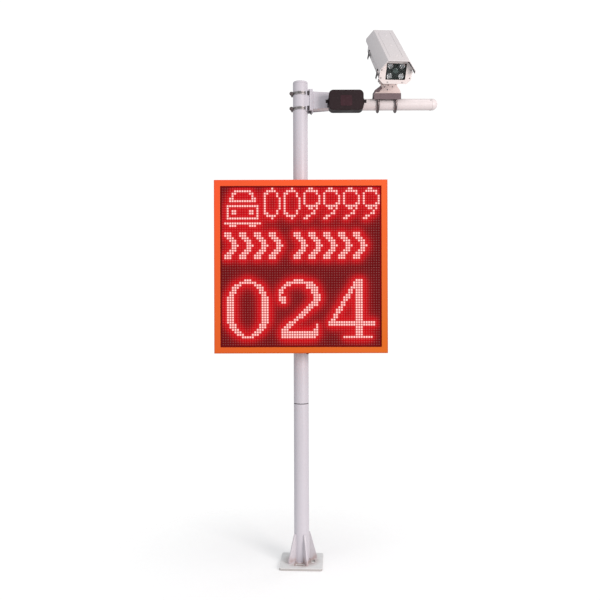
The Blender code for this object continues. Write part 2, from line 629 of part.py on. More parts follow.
# ---- camera -------------------------------------------------------------------------------
def build_camera_mount():
    """Saddle held on the crossarm by two U-bolts, and the neck that pans on it."""
    web_low, half_y, wall, skirt = SADDLE_TOP - 0.0035, 0.044, 0.003, 1.9442
    section = [(-half_y, skirt), (-half_y + wall, skirt), (-half_y + wall, web_low),
               (half_y - wall, web_low), (half_y - wall, skirt), (half_y, skirt),
               (half_y, SADDLE_TOP), (-half_y, SADDLE_TOP)]
    channel = prism("X", section, SADDLE_X - SADDLE_W / 2, SADDLE_X + SADDLE_W / 2)
    bolt_dx, bolt_r, shelf_half = 0.037, 0.0055, 0.012
    leg_y = ARM_R + GAP + bolt_r
    shelf_low = ARM_Z + ARM_R + GAP
    shelf_high = shelf_low + 0.0024
    at_x = {"left": SADDLE_X - bolt_dx, "right": SADDLE_X + bolt_dx}
    shelves = [box((x - shelf_half, x + shelf_half), (wall / 2 - half_y, half_y - wall / 2),
                   (shelf_low, shelf_high)) for x in at_x.values()]
    drills = [rod("Z", bolt_r + 0.0004, shelf_low - 0.01, shelf_high + 0.002, x, side * leg_y, 16)
              for x in at_x.values() for side in (-1, 1)]
    pan_stud = rod("Z", 0.006, web_low + 0.001, SADDLE_TOP + 0.0195, CAM_X, 0)
    node("camera_saddle", cut(union(channel, *shelves, pan_stud), *drills), DARK_STEEL)

    tip = web_low - 0.0004
    for name, x in at_x.items():
        bend = [(x, y, z) for y, z in arc(leg_y, 180, 360, 14, 0, ARM_Z)]
        bar = swept([(x, -leg_y, tip), *bend, (x, leg_y, tip)], bolt_r, 12)
        nuts = [prism("Z", hexagon(0.0165, x, side * leg_y), shelf_high + GAP, tip - 0.0002)
                for side in (-1, 1)]
        node(f"camera_u_bolt_{name}", union(bar, *nuts), STEEL)

    plate_low = SADDLE_TOP + 0.0005
    plate_high = plate_low + 0.005
    block_half, shoulder, waist_half, neck_top, apron_top = 0.0540, 1.9855, 0.0345, 2.004, 2.0185
    block_x, block_y = CAM_X - 0.006, 0.026
    plate = prism("Z", rounded(0.110, 0.072, 0.003, block_x, 0), plate_low, plate_high)
    block_low = plate_high - 0.001
    block = prism("Y", [(block_x - block_half, block_low), (block_x + block_half, block_low),
                        (block_x + block_half, shoulder), (CAM_X + waist_half, neck_top),
                        (CAM_X - waist_half, neck_top), (block_x - block_half, shoulder)],
                  -block_y, block_y)
    apron = box((CAM_X - waist_half, CAM_X + waist_half), (-block_y, -block_y + 0.010),
                (neck_top - 0.001, apron_top))
    lug_half, lug_r = 0.0295, 0.0145
    lug = prism("X", [(-lug_r, neck_top - 0.001), (lug_r, neck_top - 0.001),
                      *arc(lug_r, 0, 180, 16, 0, CAM_PIVOT_Z)],
                CAM_X - lug_half, CAM_X + lug_half)
    nut_room = box((CAM_X - 0.017, CAM_X + 0.017), (-0.0125, 0.040), (plate_high, plate_high + 0.019))
    stud_hole = rod("Z", 0.0064, plate_low - 0.01, plate_high + 0.005, CAM_X, 0)
    bolt_hole = rod("X", 0.0043, CAM_X - 0.05, CAM_X + 0.05, 0, CAM_PIVOT_Z)
    neck = cut(union(plate, block, apron, lug), nut_room, stud_hole, bolt_hole)
    turn(neck, CAM_YAW, (CAM_X, 0, 0))
    node("camera_neck", neck, WHITE, (CAM_X, 0, plate_low))

    nut = prism("Z", hexagon(0.018, CAM_X, 0), plate_high + GAP, plate_high + 0.0105,
                [circle(0.0063, CAM_X, 0)])
    node("pan_nut", nut, STEEL)

    reach = 0.0405
    shaft = rod("X", 0.0040, CAM_X - reach, CAM_X + reach + 0.003, 0, CAM_PIVOT_Z)
    head = prism("X", hexagon(0.013, 0, CAM_PIVOT_Z), CAM_X - reach - 0.0015, CAM_X - reach + 0.0035)
    nut = prism("X", hexagon(0.013, 0, CAM_PIVOT_Z), CAM_X + reach - 0.0035, CAM_X + reach + 0.0015)
    bolt = union(shaft, head, nut)
    turn(bolt, CAM_YAW, (CAM_X, 0, 0))
    node("tilt_bolt", bolt, STEEL, (CAM_X, 0, CAM_PIVOT_Z))


def housing_frame():
    """The camera housing's frame: origin on the tilt axis, -Y forward, turned and tipped."""
    return (Matrix.Translation((CAM_X, 0, CAM_PIVOT_Z)) @ Matrix.Rotation(CAM_YAW, 4, "Z")
            @ Matrix.Rotation(CAM_TILT, 4, "X"))


def upper_section(inset, foot):
    """Outline of the housing's roofed upper half, moved in by a wall thickness."""
    half, roof = HOUSING_HALF_W - inset, HOUSING_ROOF - inset
    flat = HOUSING_ROOF_HALF - inset * 0.45
    eaves = HOUSING_EAVES - inset * 0.5
    return [(half, foot), (half, eaves), (flat, roof), (-flat, roof), (-half, eaves), (-half, foot)]


def lower_section(inset, head):
    """Outline of the housing's lower half with chamfered bottom edges."""
    half, floor, chamfer = HOUSING_HALF_W - inset, HOUSING_FLOOR + inset, 0.017
    return [(-half, head), (-half, floor + chamfer), (-half + chamfer, floor),
            (half - chamfer, floor), (half, floor + chamfer), (half, head)]


def build_camera_housing():
    """Tray, hinged cover with its sun shield, front panel with window, latches and tilt bracket."""
    frame = housing_frame()

    def put(name, solid, finish, origin=(0, 0, 0)):
        node(name, solid, finish, origin, frame)

    # tray: lower half and full-height rear wall, with hinge knuckles and pin on the right
    body = prism("Y", lower_section(0, HOUSING_SPLIT), HOUSING_FRONT, HOUSING_BACK)
    hollow = prism("Y", lower_section(HOUSING_WALL, HOUSING_SPLIT + 0.01), HOUSING_FRONT - 0.01,
                   HOUSING_BACK - HOUSING_WALL)
    rear = prism("Y", upper_section(0, HOUSING_SPLIT - 0.001), HOUSING_BACK - HOUSING_WALL, HOUSING_BACK)
    knuckles, joints = [], (-0.110, 0.130)
    for y in joints:
        knuckles.append(rod("Y", 0.004, y - 0.012, y + 0.012, HOUSING_HINGE_X, HOUSING_SPLIT))
        knuckles.append(box((HOUSING_HALF_W - 0.001, HOUSING_HINGE_X), (y - 0.012, y + 0.012),
                            (HOUSING_SPLIT - 0.0035, HOUSING_SPLIT - 0.0005)))
    pins = [rod("Y", 0.002, y + 0.010, y + 0.032, HOUSING_HINGE_X, HOUSING_SPLIT, 12) for y in joints]
    catches = [box((-HOUSING_HALF_W - 0.0035, -HOUSING_HALF_W + 0.001), (y - 0.008, y + 0.008),
                   (0.062, 0.066)) for y in LATCH_Y.values()]
    gland = prism("Y", hexagon(0.016, 0.030, 0.065), HOUSING_BACK - 0.001, HOUSING_BACK + 0.012)
    put("housing_tray", union(cut(body, hollow), rear, *knuckles, *pins, *catches, gland), WHITE)

    # cover: roofed upper half between the front panel and the rear wall
    foot = HOUSING_SPLIT + 0.0005
    front, back = HOUSING_FRONT, HOUSING_BACK - HOUSING_WALL - 0.0005
    roof = prism("Y", upper_section(0, foot), front, back)
    hollow = prism("Y", upper_section(HOUSING_WALL, foot - 0.01), front - 0.01, back + 0.01)
    cover = cut(roof, hollow)
    leaves, bores = [], []
    for y in joints:
        low, high = y + 0.0125, y + 0.0365
        leaves.append(rod("Y", 0.004, low, high, HOUSING_HINGE_X, HOUSING_SPLIT))
        leaves.append(box((HOUSING_HALF_W - 0.001, HOUSING_HINGE_X), (low, high), (foot, foot + 0.0030)))
        bores.append(rod("Y", 0.0024, low - 0.01, high + 0.001, HOUSING_HINGE_X, HOUSING_SPLIT, 12))
    posts = [rod("Z", 0.006, HOUSING_ROOF - 0.001, SHIELD_TOP - 0.0024, 0, y) for y in SHIELD_SCREWS]
    hangers = []
    for y in LATCH_Y.values():
        for end in (-1, 1):
            low, high = sorted((y + end * 0.0135, y + end * 0.0105))
            hangers.append(box((-HOUSING_HALF_W - 0.0080, -HOUSING_HALF_W + 0.001), (low, high),
                               (0.0795, 0.0865)))
    put("housing_cover", cut(union(cover, *leaves, *posts, *hangers), *bores), WHITE,
        (HOUSING_HINGE_X, 0, HOUSING_SPLIT))

    put("sun_shield", shield_solid(), WHITE, (HOUSING_HINGE_X, 0, HOUSING_SPLIT))

    # front panel with its window, and the camera behind it
    window_z = (0.055 + 0.1205) / 2
    window_w, window_h = 0.080, 0.0655
    face = HOUSING_FRONT - 0.0043
    outline = lower_section(0, HOUSING_SPLIT) + upper_section(0, HOUSING_SPLIT)[1:-1]
    panel = prism("Y", outline, face, HOUSING_FRONT - GAP,
                  [rounded(window_w, window_h, 0.002, 0, window_z, 2)])
    put("front_panel", panel, WHITE)
    glass = prism("Y", rounded(window_w + 0.004, window_h + 0.004, 0.003, 0, window_z, 2),
                  HOUSING_FRONT, HOUSING_FRONT + 0.0020)
    put("window_glass", glass, GLASS)

    board_front = HOUSING_FRONT + 0.0023
    lamp_at = [(sx * 0.0240, window_z + sz * 0.0205) for sx in (-1, 1) for sz in (-1, 1)]
    hole = circle(0.0165, 0, window_z)
    board = prism("Y", rounded(0.080, 0.068, 0.003, 0, window_z, 2), board_front + 0.008,
                  board_front + 0.011, [hole])
    cups = [prism("Y", circle(0.0108, *at), board_front, board_front + 0.009) for at in lamp_at]
    cones = [turned([(0, 0), (0.0088, 0), (0.0048, 0.0055), (0, 0.0055)],
                    (at[0], board_front, at[1]), "Y", FINE) for at in lamp_at]
    put("ir_lamp_board", cut(union(board, *cups), *cones), BLACK)

    lens_profile = [(0, 0.0026), (0.006, 0.0020), (0.0115, 0.0004), (0.0125, 0.0), (0.0145, 0.0),
                    (0.0145, 0.030), (0.0115, 0.030), (0.0115, 0.040), (0, 0.040)]
    put("camera_lens", turned(lens_profile, (0, board_front + 0.0005, window_z), "Y", 20), LENS)
    module_front = board_front + 0.0405 + GAP
    module = box((-0.028, 0.028), (module_front, module_front + 0.085),
                 (window_z - 0.026, window_z + 0.026))
    sled = box((-0.016, 0.016), (module_front + 0.010, module_front + 0.075),
               (HOUSING_FLOOR + HOUSING_WALL + GAP, window_z - 0.025))
    put("camera_module", union(module, sled), GREY_BOX)

    # toggle latches on the cover's left side
    for name, y in LATCH_Y.items():
        x, z = -HOUSING_HALF_W - 0.0050, 0.083
        barrel = rod("Y", 0.0028, y - 0.0100, y + 0.0100, x, z)
        lever = prism("Y", [(x - 0.0006, z + 0.001), (x - 0.0045, z + 0.001), (x - 0.0060, 0.068),
                            (x - 0.0085, 0.0495), (x - 0.0060, 0.0490), (x - 0.0006, 0.0610)],
                      y - 0.0095, y + 0.0095)
        put(f"latch_{name}", union(barrel, lever), BLACK, (x, y, z))

    # tilt bracket under the tray
    inner, thick = 0.0300, 0.0060
    top = HOUSING_FLOOR - GAP
    strap = prism("Z", rectangle(2 * (inner + thick), 0.090), top - 0.004, top)
    ears = []
    for s in (-1, 1):
        ears.append(prism("X", [(-0.030, top - 0.001), *arc(0.0140, 200, 340, 12), (0.030, top - 0.001)],
                          *sorted((s * inner, s * (inner + thick))), [circle(0.0043)]))
    put("tilt_bracket", union(strap, *ears), WHITE)


def shield_solid():
    """Folded sun shield: flat top, sloping sides and short skirts, with its screw heads."""
    thick, flat, skirt_x, slope, skirt = 0.0016, 0.0415, 0.0712, 0.039, 0.011
    eaves = SHIELD_TOP - slope
    outer = [(skirt_x, eaves - skirt), (skirt_x, eaves), (flat, SHIELD_TOP),
             (-flat, SHIELD_TOP), (-skirt_x, eaves), (-skirt_x, eaves - skirt)]
    inner = [(-skirt_x + thick, eaves - skirt), (-skirt_x + thick, eaves - thick * 0.4),
             (-flat + thick * 0.4, SHIELD_TOP - thick), (flat - thick * 0.4, SHIELD_TOP - thick),
             (skirt_x - thick, eaves - thick * 0.4), (skirt_x - thick, eaves - skirt)]
    sheet = prism("Y", outer + inner, SHIELD_FRONT, SHIELD_FRONT + SHIELD_LENGTH)
    heads = [turned([(0, 0.0024), (0.003, 0.0020), (0.0052, 0.0), (0.0052, -0.001), (0, -0.001)],
                    (0, y, SHIELD_TOP), sides=16) for y in SHIELD_SCREWS]
    return union(sheet, *heads)


# ---- assembly -----------------------------------------------------------------------------
clear_scene()
build_base()
build_pole()
build_display_case()
build_display_inside()
build_doors()
build_display_rails()
build_arm()
build_radar()
build_camera_mount()
build_camera_housing()
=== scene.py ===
"""Looks of the roadside speed sign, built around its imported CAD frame.

All places are metres in the frame of the CAD model, taken from its nodes, bodies and joints.
"""
import json
import math

import bmesh
import bpy
import numpy as np
from mathutils import Matrix, Vector

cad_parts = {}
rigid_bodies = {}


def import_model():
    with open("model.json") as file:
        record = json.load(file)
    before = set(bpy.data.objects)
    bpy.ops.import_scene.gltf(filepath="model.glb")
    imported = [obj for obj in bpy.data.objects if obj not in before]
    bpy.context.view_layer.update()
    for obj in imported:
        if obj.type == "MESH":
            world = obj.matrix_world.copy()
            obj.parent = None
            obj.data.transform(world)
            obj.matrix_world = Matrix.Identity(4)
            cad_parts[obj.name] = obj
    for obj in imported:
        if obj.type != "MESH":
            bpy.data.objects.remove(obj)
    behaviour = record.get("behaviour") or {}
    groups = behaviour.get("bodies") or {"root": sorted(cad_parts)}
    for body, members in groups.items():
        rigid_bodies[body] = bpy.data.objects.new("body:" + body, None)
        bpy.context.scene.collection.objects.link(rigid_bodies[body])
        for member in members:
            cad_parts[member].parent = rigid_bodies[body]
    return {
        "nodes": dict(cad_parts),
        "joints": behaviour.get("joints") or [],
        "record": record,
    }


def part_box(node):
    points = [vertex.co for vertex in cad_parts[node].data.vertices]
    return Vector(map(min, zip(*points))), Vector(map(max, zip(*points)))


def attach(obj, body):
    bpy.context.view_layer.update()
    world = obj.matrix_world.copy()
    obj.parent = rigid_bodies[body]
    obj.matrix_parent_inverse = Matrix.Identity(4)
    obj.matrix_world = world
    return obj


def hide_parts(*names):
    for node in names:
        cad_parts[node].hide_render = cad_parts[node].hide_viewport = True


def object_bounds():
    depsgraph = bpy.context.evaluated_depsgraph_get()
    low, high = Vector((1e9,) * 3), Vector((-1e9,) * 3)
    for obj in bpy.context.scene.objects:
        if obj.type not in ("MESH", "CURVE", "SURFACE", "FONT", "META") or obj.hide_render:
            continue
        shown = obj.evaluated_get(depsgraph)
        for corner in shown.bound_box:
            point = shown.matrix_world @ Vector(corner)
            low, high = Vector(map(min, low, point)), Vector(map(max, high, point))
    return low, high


for thing in list(bpy.data.objects):
    bpy.data.objects.remove(thing, do_unlink=True)
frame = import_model()
cad_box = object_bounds()
NODES = frame["nodes"]
JOINTS = {joint["name"]: joint for joint in frame["joints"]}
SLOTS = {part["node"]: part["material_slot"] for part in frame["record"]["subparts"]}
CASE_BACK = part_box("rail_top")[0].y - 0.0003


# ---- materials ----------------------------------------------------------------------------
class Shade:
    """A small builder of node materials around one Principled shader."""

    def __init__(self, name, colour, roughness=0.5, metallic=0.0, **sockets):
        self.material = bpy.data.materials.new(name)
        self.material.use_nodes = True
        self.tree = self.material.node_tree
        self.shader = self.tree.nodes["Principled BSDF"]
        self.set("Base Color", (*colour, 1.0))
        self.set("Roughness", roughness)
        self.set("Metallic", metallic)
        for socket, value in sockets.items():
            self.set(socket.replace("_", " "), value)
        self.place = self.add("ShaderNodeTexCoord").outputs["Object"]

    def set(self, socket, value):
        self.shader.inputs[socket].default_value = value

    def add(self, kind, **settings):
        made = self.tree.nodes.new(kind)
        for name, value in settings.items():
            setattr(made, name, value)
        return made

    def link(self, source, target):
        self.tree.links.new(source, target)

    def mapped(self, scale=(1, 1, 1), turn=(0, 0, 0)):
        made = self.add("ShaderNodeMapping")
        made.inputs["Scale"].default_value = scale
        made.inputs["Rotation"].default_value = turn
        self.link(self.place, made.inputs["Vector"])
        return made.outputs["Vector"]

    def noise(self, scale, detail=3.0, stretch=(1, 1, 1)):
        made = self.add("ShaderNodeTexNoise")
        made.inputs["Scale"].default_value = scale
        made.inputs["Detail"].default_value = detail
        self.link(self.mapped(stretch), made.inputs["Vector"])
        return made.outputs["Fac"]

    def patches(self, scale, detail, low, high, share=1.0, stretch=(1, 1, 1)):
        """Noise spread over 0 to a share, between two of its own levels."""
        return self.between(self.noise(scale, detail, stretch), low, high, 0.0, share)

    def along(self, axis):
        """The coordinate along one axis of the object."""
        made = self.add("ShaderNodeSeparateXYZ")
        self.link(self.place, made.inputs[0])
        return made.outputs[axis]

    def layer(self, name):
        """The values a mesh carries at its points under a name."""
        return self.add("ShaderNodeAttribute", attribute_name=name).outputs["Fac"]

    def reach(self):
        """The distance from the object's own origin."""
        made = self.add("ShaderNodeVectorMath", operation="LENGTH")
        self.link(self.place, made.inputs[0])
        return made.outputs["Value"]

    def between(self, value, low, high, to_low=0.0, to_high=1.0):
        """A value spread over a new range, and clamped to it."""
        made = self.add("ShaderNodeMapRange")
        for socket, number in (("From Min", low), ("From Max", high), ("To Min", to_low),
                ("To Max", to_high)):
            made.inputs[socket].default_value = number
        self.link(value, made.inputs["Value"])
        return made.outputs["Result"]

    def maths(self, operation, first, second, clamp=True):
        """A sum, product or other step of arithmetic on sockets or numbers."""
        made = self.add("ShaderNodeMath", operation=operation, use_clamp=clamp)
        for socket, value in zip(made.inputs, (first, second)):
            if isinstance(value, float):
                socket.default_value = value
            else:
                self.link(value, socket)
        return made.outputs[0]

    def mix(self, factor, first, second):
        """A colour between two others, which are tuples or sockets."""
        made = self.add("ShaderNodeMix", data_type="RGBA")
        self.link(factor, made.inputs["Factor"])
        for socket, colour in ((made.inputs[6], first), (made.inputs[7], second)):
            if isinstance(colour, tuple):
                socket.default_value = (*colour, 1.0)
            else:
                self.link(colour, socket)
        return made.outputs[2]

    def feed(self, socket, source):
        self.link(source, self.shader.inputs[socket])

    def colour(self, source):
        self.feed("Base Color", source)

    def rough(self, source, low, high):
        """Roughness that follows the middle levels of a noise."""
        self.feed("Roughness", self.between(source, 0.35, 0.65, low, high))

    def bump(self, source, distance, strength=1.0):
        made = self.add("ShaderNodeBump")
        made.inputs["Distance"].default_value = distance
        made.inputs["Strength"].default_value = strength
        self.link(source, made.inputs["Height"])
        socket = self.shader.inputs["Normal"]
        if socket.links:
            self.link(socket.links[0].from_socket, made.inputs["Normal"])
        self.link(made.outputs["Normal"], socket)


def darker(colour, share):
    return tuple(channel * share for channel in colour)


def coat(name, colour, roughness=0.42, soil=0.86, tint=None, gloss=0.15, foot_browning=None):
    """Painted metal: orange-peel, slow drift of colour, rain streaks, and browner patches towards its foot.
    """
    shade = Shade(name, colour, roughness, Coat_Weight=gloss, Coat_Roughness=0.25)
    broad = shade.noise(3.2, 4.0, (1.0, 1.0, 0.35))
    body = shade.mix(shade.between(broad, 0.35, 0.7), colour, tint or darker(colour, 0.93))
    streaks = shade.patches(55.0, 3.0, 0.56, 0.8, 0.8, (1.0, 1.0, 0.05))
    body = shade.mix(streaks, body, darker(colour, soil))
    specks = shade.patches(420.0, 2.0, 0.66, 0.74, 0.55)
    body = shade.mix(specks, body, darker(colour, 0.7))
    if foot_browning:
        low, high, foot_brown = foot_browning
        height = shade.between(shade.along("Z"), low, high, 1.0, 0.0)
        patches = shade.patches(34.0, 4.0, 0.4, 0.62)
        body = shade.mix(shade.maths("MULTIPLY", height, patches), body, foot_brown)
    shade.colour(body)
    shade.rough(broad, roughness - 0.06, roughness + 0.08)
    shade.bump(shade.noise(900.0, 2.0), 0.00008, 0.35)
    return shade.material


def plate_coat():
    """The base plate's pale coat, browned around the mast's foot and around its front slot; the slot's walls
    are painted pale as painted light, and the plate's sides dark as painted shade.
    """
    pale, brown = (0.8, 0.8, 0.795), (0.36, 0.26, 0.235)
    shade = Shade("plate_coat", pale, 0.5)
    patches = shade.patches(30.0, 4.0, 0.3, 0.56)
    near = shade.between(shade.reach(), 0.042, 0.086, 0.8, 0.0)
    plate_tone_and_painted_light = shade.mix(shade.maths("MULTIPLY", near, patches), pale, brown)
    streaks = shade.patches(60.0, 3.0, 0.5, 0.75, 0.35, (1.0, 3.0, 1.0))
    plate_tone_and_painted_light = shade.mix(streaks, plate_tone_and_painted_light, (0.6, 0.6, 0.59))
    beyond = []
    for axis, shift, half_slot in (("X", 0.0065, 0.019), ("Y", 0.048, 0.008)):
        distance = shade.maths("ABSOLUTE", shade.maths("ADD", shade.along(axis), shift, False), 0.0, False)
        beyond.append(shade.maths("SUBTRACT", distance, half_slot, False))
    edge = shade.maths("MAXIMUM", *beyond, False)
    ring = shade.maths("MULTIPLY", shade.between(edge, 0.0, 0.0008),
        shade.between(edge, 0.003, 0.0075, 1.0, 0.0))
    plate_tone_and_painted_light = shade.mix(ring, plate_tone_and_painted_light, brown)
    # The front slot's walls and a thin rim round it are painted pale, as painted light.
    plate_tone_and_painted_light = shade.mix(shade.between(edge, 0.0006, 0.0), plate_tone_and_painted_light, (0.9, 0.88, 0.87))
    # The plate's vertical sides are painted dark, as painted shade.
    shaded_sides = shade.between(shade.along("Z"), 0.0082, 0.009, 1.0, 0.0)
    shade.colour(shade.mix(shaded_sides, plate_tone_and_painted_light, (0.46, 0.43, 0.42)))
    shade.bump(shade.noise(800.0, 2.0), 0.00008, 0.35)
    return shade.material


def orange_coat():
    """The display's orange coat, redder towards its upper left, with its outer edges darker and browner as
    painted shade.
    """
    warm, deep = (0.9, 0.084, 0.02), (0.66, 0.122, 0.003)
    shade = Shade("display_orange", warm, 0.45, Coat_Weight=0.04, Coat_Roughness=0.3,
        Specular_IOR_Level=0.25)
    low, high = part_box("bezel")
    across = shade.between(shade.along("X"), low.x, high.x, 0.0, 0.42)
    down = shade.between(shade.along("Z"), high.z, low.z, 0.0, 0.75)
    drift = shade.mix(shade.maths("ADD", across, down), warm, deep)
    cloud = shade.noise(6.0, 3.0)
    worn = shade.mix(shade.between(cloud, 0.45, 0.8, 0.0, 0.5), drift, (0.7, 0.09, 0.014))
    # The right, bottom and left edges are darkened as painted shade.
    rim = shade.maths("MAXIMUM", shade.between(shade.along("X"), high.x - 0.006, high.x, 0.0, 0.5),
        shade.between(shade.along("Z"), low.z + 0.007, low.z, 0.0, 0.5))
    left = shade.between(shade.along("X"), low.x + 0.005, low.x, 0.0, 0.45)
    shade.colour(shade.mix(shade.maths("MAXIMUM", rim, left), worn, (0.36, 0.05, 0.01)))
    shade.rough(cloud, 0.33, 0.48)
    shade.bump(shade.noise(850.0, 2.0), 0.00008, 0.35)
    return shade.material


def metal(name, colour, roughness, grain=(1.0, 1.0, 14.0)):
    """Bare or plated metal with a drawn grain and small stains."""
    shade = Shade(name, colour, roughness, 1.0)
    body = shade.mix(shade.patches(60.0, 4.0, 0.4, 0.75), colour, darker(colour, 0.68))
    shade.colour(shade.mix(shade.patches(520.0, 2.0, 0.62, 0.75, 0.6), body, darker(colour, 0.4)))
    drawn = shade.noise(240.0, 3.0, grain)
    shade.rough(drawn, roughness - 0.08, roughness + 0.12)
    shade.bump(drawn, 0.00005, 0.5)
    return shade.material


def moulded(name, colour, roughness=0.5, grain=1300.0, specular=0.35):
    """Moulded plastic with a spark-eroded grain and a little dust."""
    shade = Shade(name, colour, roughness, Specular_IOR_Level=specular)
    cloud = shade.noise(18.0, 3.0)
    body = shade.mix(shade.between(cloud, 0.4, 0.7), colour, darker(colour, 0.75))
    dust = tuple(0.93 * channel + 0.03 for channel in colour)
    shade.colour(shade.mix(shade.patches(160.0, 3.0, 0.55, 0.75, 0.5), body, dust))
    shade.rough(cloud, roughness - 0.06, roughness + 0.1)
    shade.bump(shade.noise(grain, 2.0), 0.00009, 0.6)
    return shade.material


def circuit_board():
    """Green solder mask with copper runs showing under it."""
    shade = Shade("circuit_board", (0.015, 0.1, 0.04), 0.35)
    runs = shade.add("ShaderNodeTexBrick")
    for socket, value in (("Scale", 90.0), ("Mortar Size", 0.06), ("Color1", (0.012, 0.085, 0.03, 1.0)),
            ("Color2", (0.02, 0.12, 0.05, 1.0)), ("Mortar", (0.03, 0.2, 0.08, 1.0))):
        runs.inputs[socket].default_value = value
    shade.link(shade.mapped(turn=(math.pi / 2, 0, 0)), runs.inputs["Vector"])
    shade.colour(runs.outputs["Color"])
    shade.bump(runs.outputs["Fac"], 0.0001, 0.4)
    return shade.material


def clear_pane(name, tint, cover, roughness=0.03):
    """Clear glass or clear plastic: a thin film that covers a share of what lies behind it."""
    shade = Shade(name, tint, roughness, Alpha=cover, Specular_IOR_Level=0.5)
    film = shade.noise(30.0, 3.0)
    shade.colour(shade.mix(shade.between(film, 0.4, 0.7), tint, darker(tint, 0.93)))
    shade.rough(film, roughness, roughness + 0.04)
    return shade.material


def lens_glass():
    """Coated lens: dark green-grey with a slow drift of colour."""
    shade = Shade("lens_glass", (0.05, 0.075, 0.07), 0.12, Coat_Weight=0.6, Coat_Roughness=0.05)
    shade.colour(shade.mix(shade.patches(90.0, 2.0, 0.35, 0.65), (0.045, 0.075, 0.07), (0.075, 0.105, 0.1)))
    return shade.material


def mask_material():
    """Black lamp mask; the lamps' red light is painted over it as emission, faint over all its face and
    strongest near lit lamps and in their wells.
    """
    shade = Shade("lamp_mask", (0.03, 0.006, 0.01), 0.75, Specular_IOR_Level=0.08)
    shade.colour(shade.mix(shade.patches(9.0, 3.0, 0.3, 0.7), (0.022, 0.003, 0.004), (0.045, 0.004, 0.006)))
    shade.bump(shade.noise(700.0, 2.0), 0.0001, 0.5)
    painted_glow, own = shade.layer("painted_glow"), shade.layer("own")
    # Red light from the lit lamps, painted on the mask as emission; lit wells painted pinkish.
    painted_spill = shade.mix(painted_glow, (0.7, 0.0, 0.004), (1.0, 0.0, 0.006))
    shade.feed("Emission Color", shade.mix(own, painted_spill, (1.0, 0.3, 0.28)))
    shade.feed("Emission Strength", shade.between(painted_glow, -0.19, 1.0, 0.0, 0.95))
    return shade.material


def lamp_material():
    """Lamp domes: dull and pinkish when dark, with red light from lit neighbours painted on them as
    emission; pale pink with a red rim when lit.
    """
    shade = Shade("lamp_dome", (0.11, 0.045, 0.05), 0.35, Specular_IOR_Level=0.25)
    shade.colour(shade.mix(shade.patches(300.0, 2.0, 0.3, 0.7), (0.1, 0.024, 0.024), (0.17, 0.045, 0.044)))
    heat, painted_glow = shade.layer("lit_core"), shade.layer("painted_glow")
    # Red light from lit neighbours, painted on the domes as emission.
    painted_spill = shade.mix(painted_glow, (0.1, 0.008, 0.01), (1.0, 0.012, 0.02))
    core = shade.mix(shade.between(heat, 0.3, 0.9), (1.0, 0.22, 0.24), (1.0, 0.7, 0.66))
    lit = shade.between(heat, 0.0, 0.3)
    shade.feed("Emission Color", shade.mix(lit, painted_spill, core))
    shade.feed("Emission Strength", shade.between(heat, 0.0, 0.6, 0.4, 1.15))
    return shade.material


MAST = coat("mast_coat", (0.62, 0.585, 0.63), 0.42, 0.9, (0.56, 0.525, 0.575))
# The arm's coat is a lighter, warmer copy of the mast's coat, as painted light.
ARM_PAINTED_LIGHT = coat("arm_painted_light_coat", (0.76, 0.685, 0.68), 0.42, 0.92, (0.71, 0.64, 0.64))
FOOT = coat("foot_coat", (0.66, 0.625, 0.66), 0.45, 0.86, (0.58, 0.54, 0.58), 0.15,
    (0.004, 0.045, (0.42, 0.29, 0.27)))
# The rear right rib's coat is the foot's coat darkened, as painted shade.
RIB_PAINTED_SHADE = coat("rib_painted_shade_coat", (0.5, 0.475, 0.505), 0.45, 0.86, (0.45, 0.42, 0.45), 0.15,
    (0.004, 0.045, (0.36, 0.25, 0.235)))
PLATE = plate_coat()
ORANGE = orange_coat()
WHITE = coat("housing_coat", (0.71, 0.65, 0.645), 0.38, 0.92, (0.65, 0.61, 0.62))
# The front panel and tilt bracket take a lighter copy of the housing's coat, as painted light.
PANEL_PAINTED_LIGHT = coat("panel_painted_light_coat", (0.86, 0.765, 0.74), 0.4, 0.92, (0.8, 0.715, 0.695))
# The neck's coat is the front panel's coat darkened and pinker, as painted shade.
NECK_PAINTED_SHADE = coat("neck_painted_shade_coat", (0.76, 0.625, 0.595), 0.42, 0.9, (0.68, 0.555, 0.53))
DARK = coat("saddle_coat", (0.13, 0.085, 0.095), 0.45, 0.75, (0.19, 0.135, 0.145), 0.1)
# Near-black coat for the dark pieces that stand for shade at the arm's saddle, as painted shade.
SHADE_BLACK = coat("painted_shade_black", (0.035, 0.026, 0.03), 0.45, 0.75, None, 0.1)
ZINC = metal("zinc_plate", (0.52, 0.48, 0.48), 0.36)
CHROME = metal("reflector", (0.95, 0.95, 0.96), 0.3, (1.0, 1.0, 1.0))
# Zinc darkened as painted shade, for the U-bolts and the band screws.
ZINC_PAINTED_SHADE = metal("zinc_painted_shade", (0.2, 0.165, 0.165), 0.34)
ALLOY = metal("mill_alloy", (0.62, 0.62, 0.64), 0.4)
BRASS = metal("brass", (0.6, 0.42, 0.16), 0.3)
BLACK = moulded("black_moulding", (0.017, 0.011, 0.013), 0.5, 1300.0, 0.25)
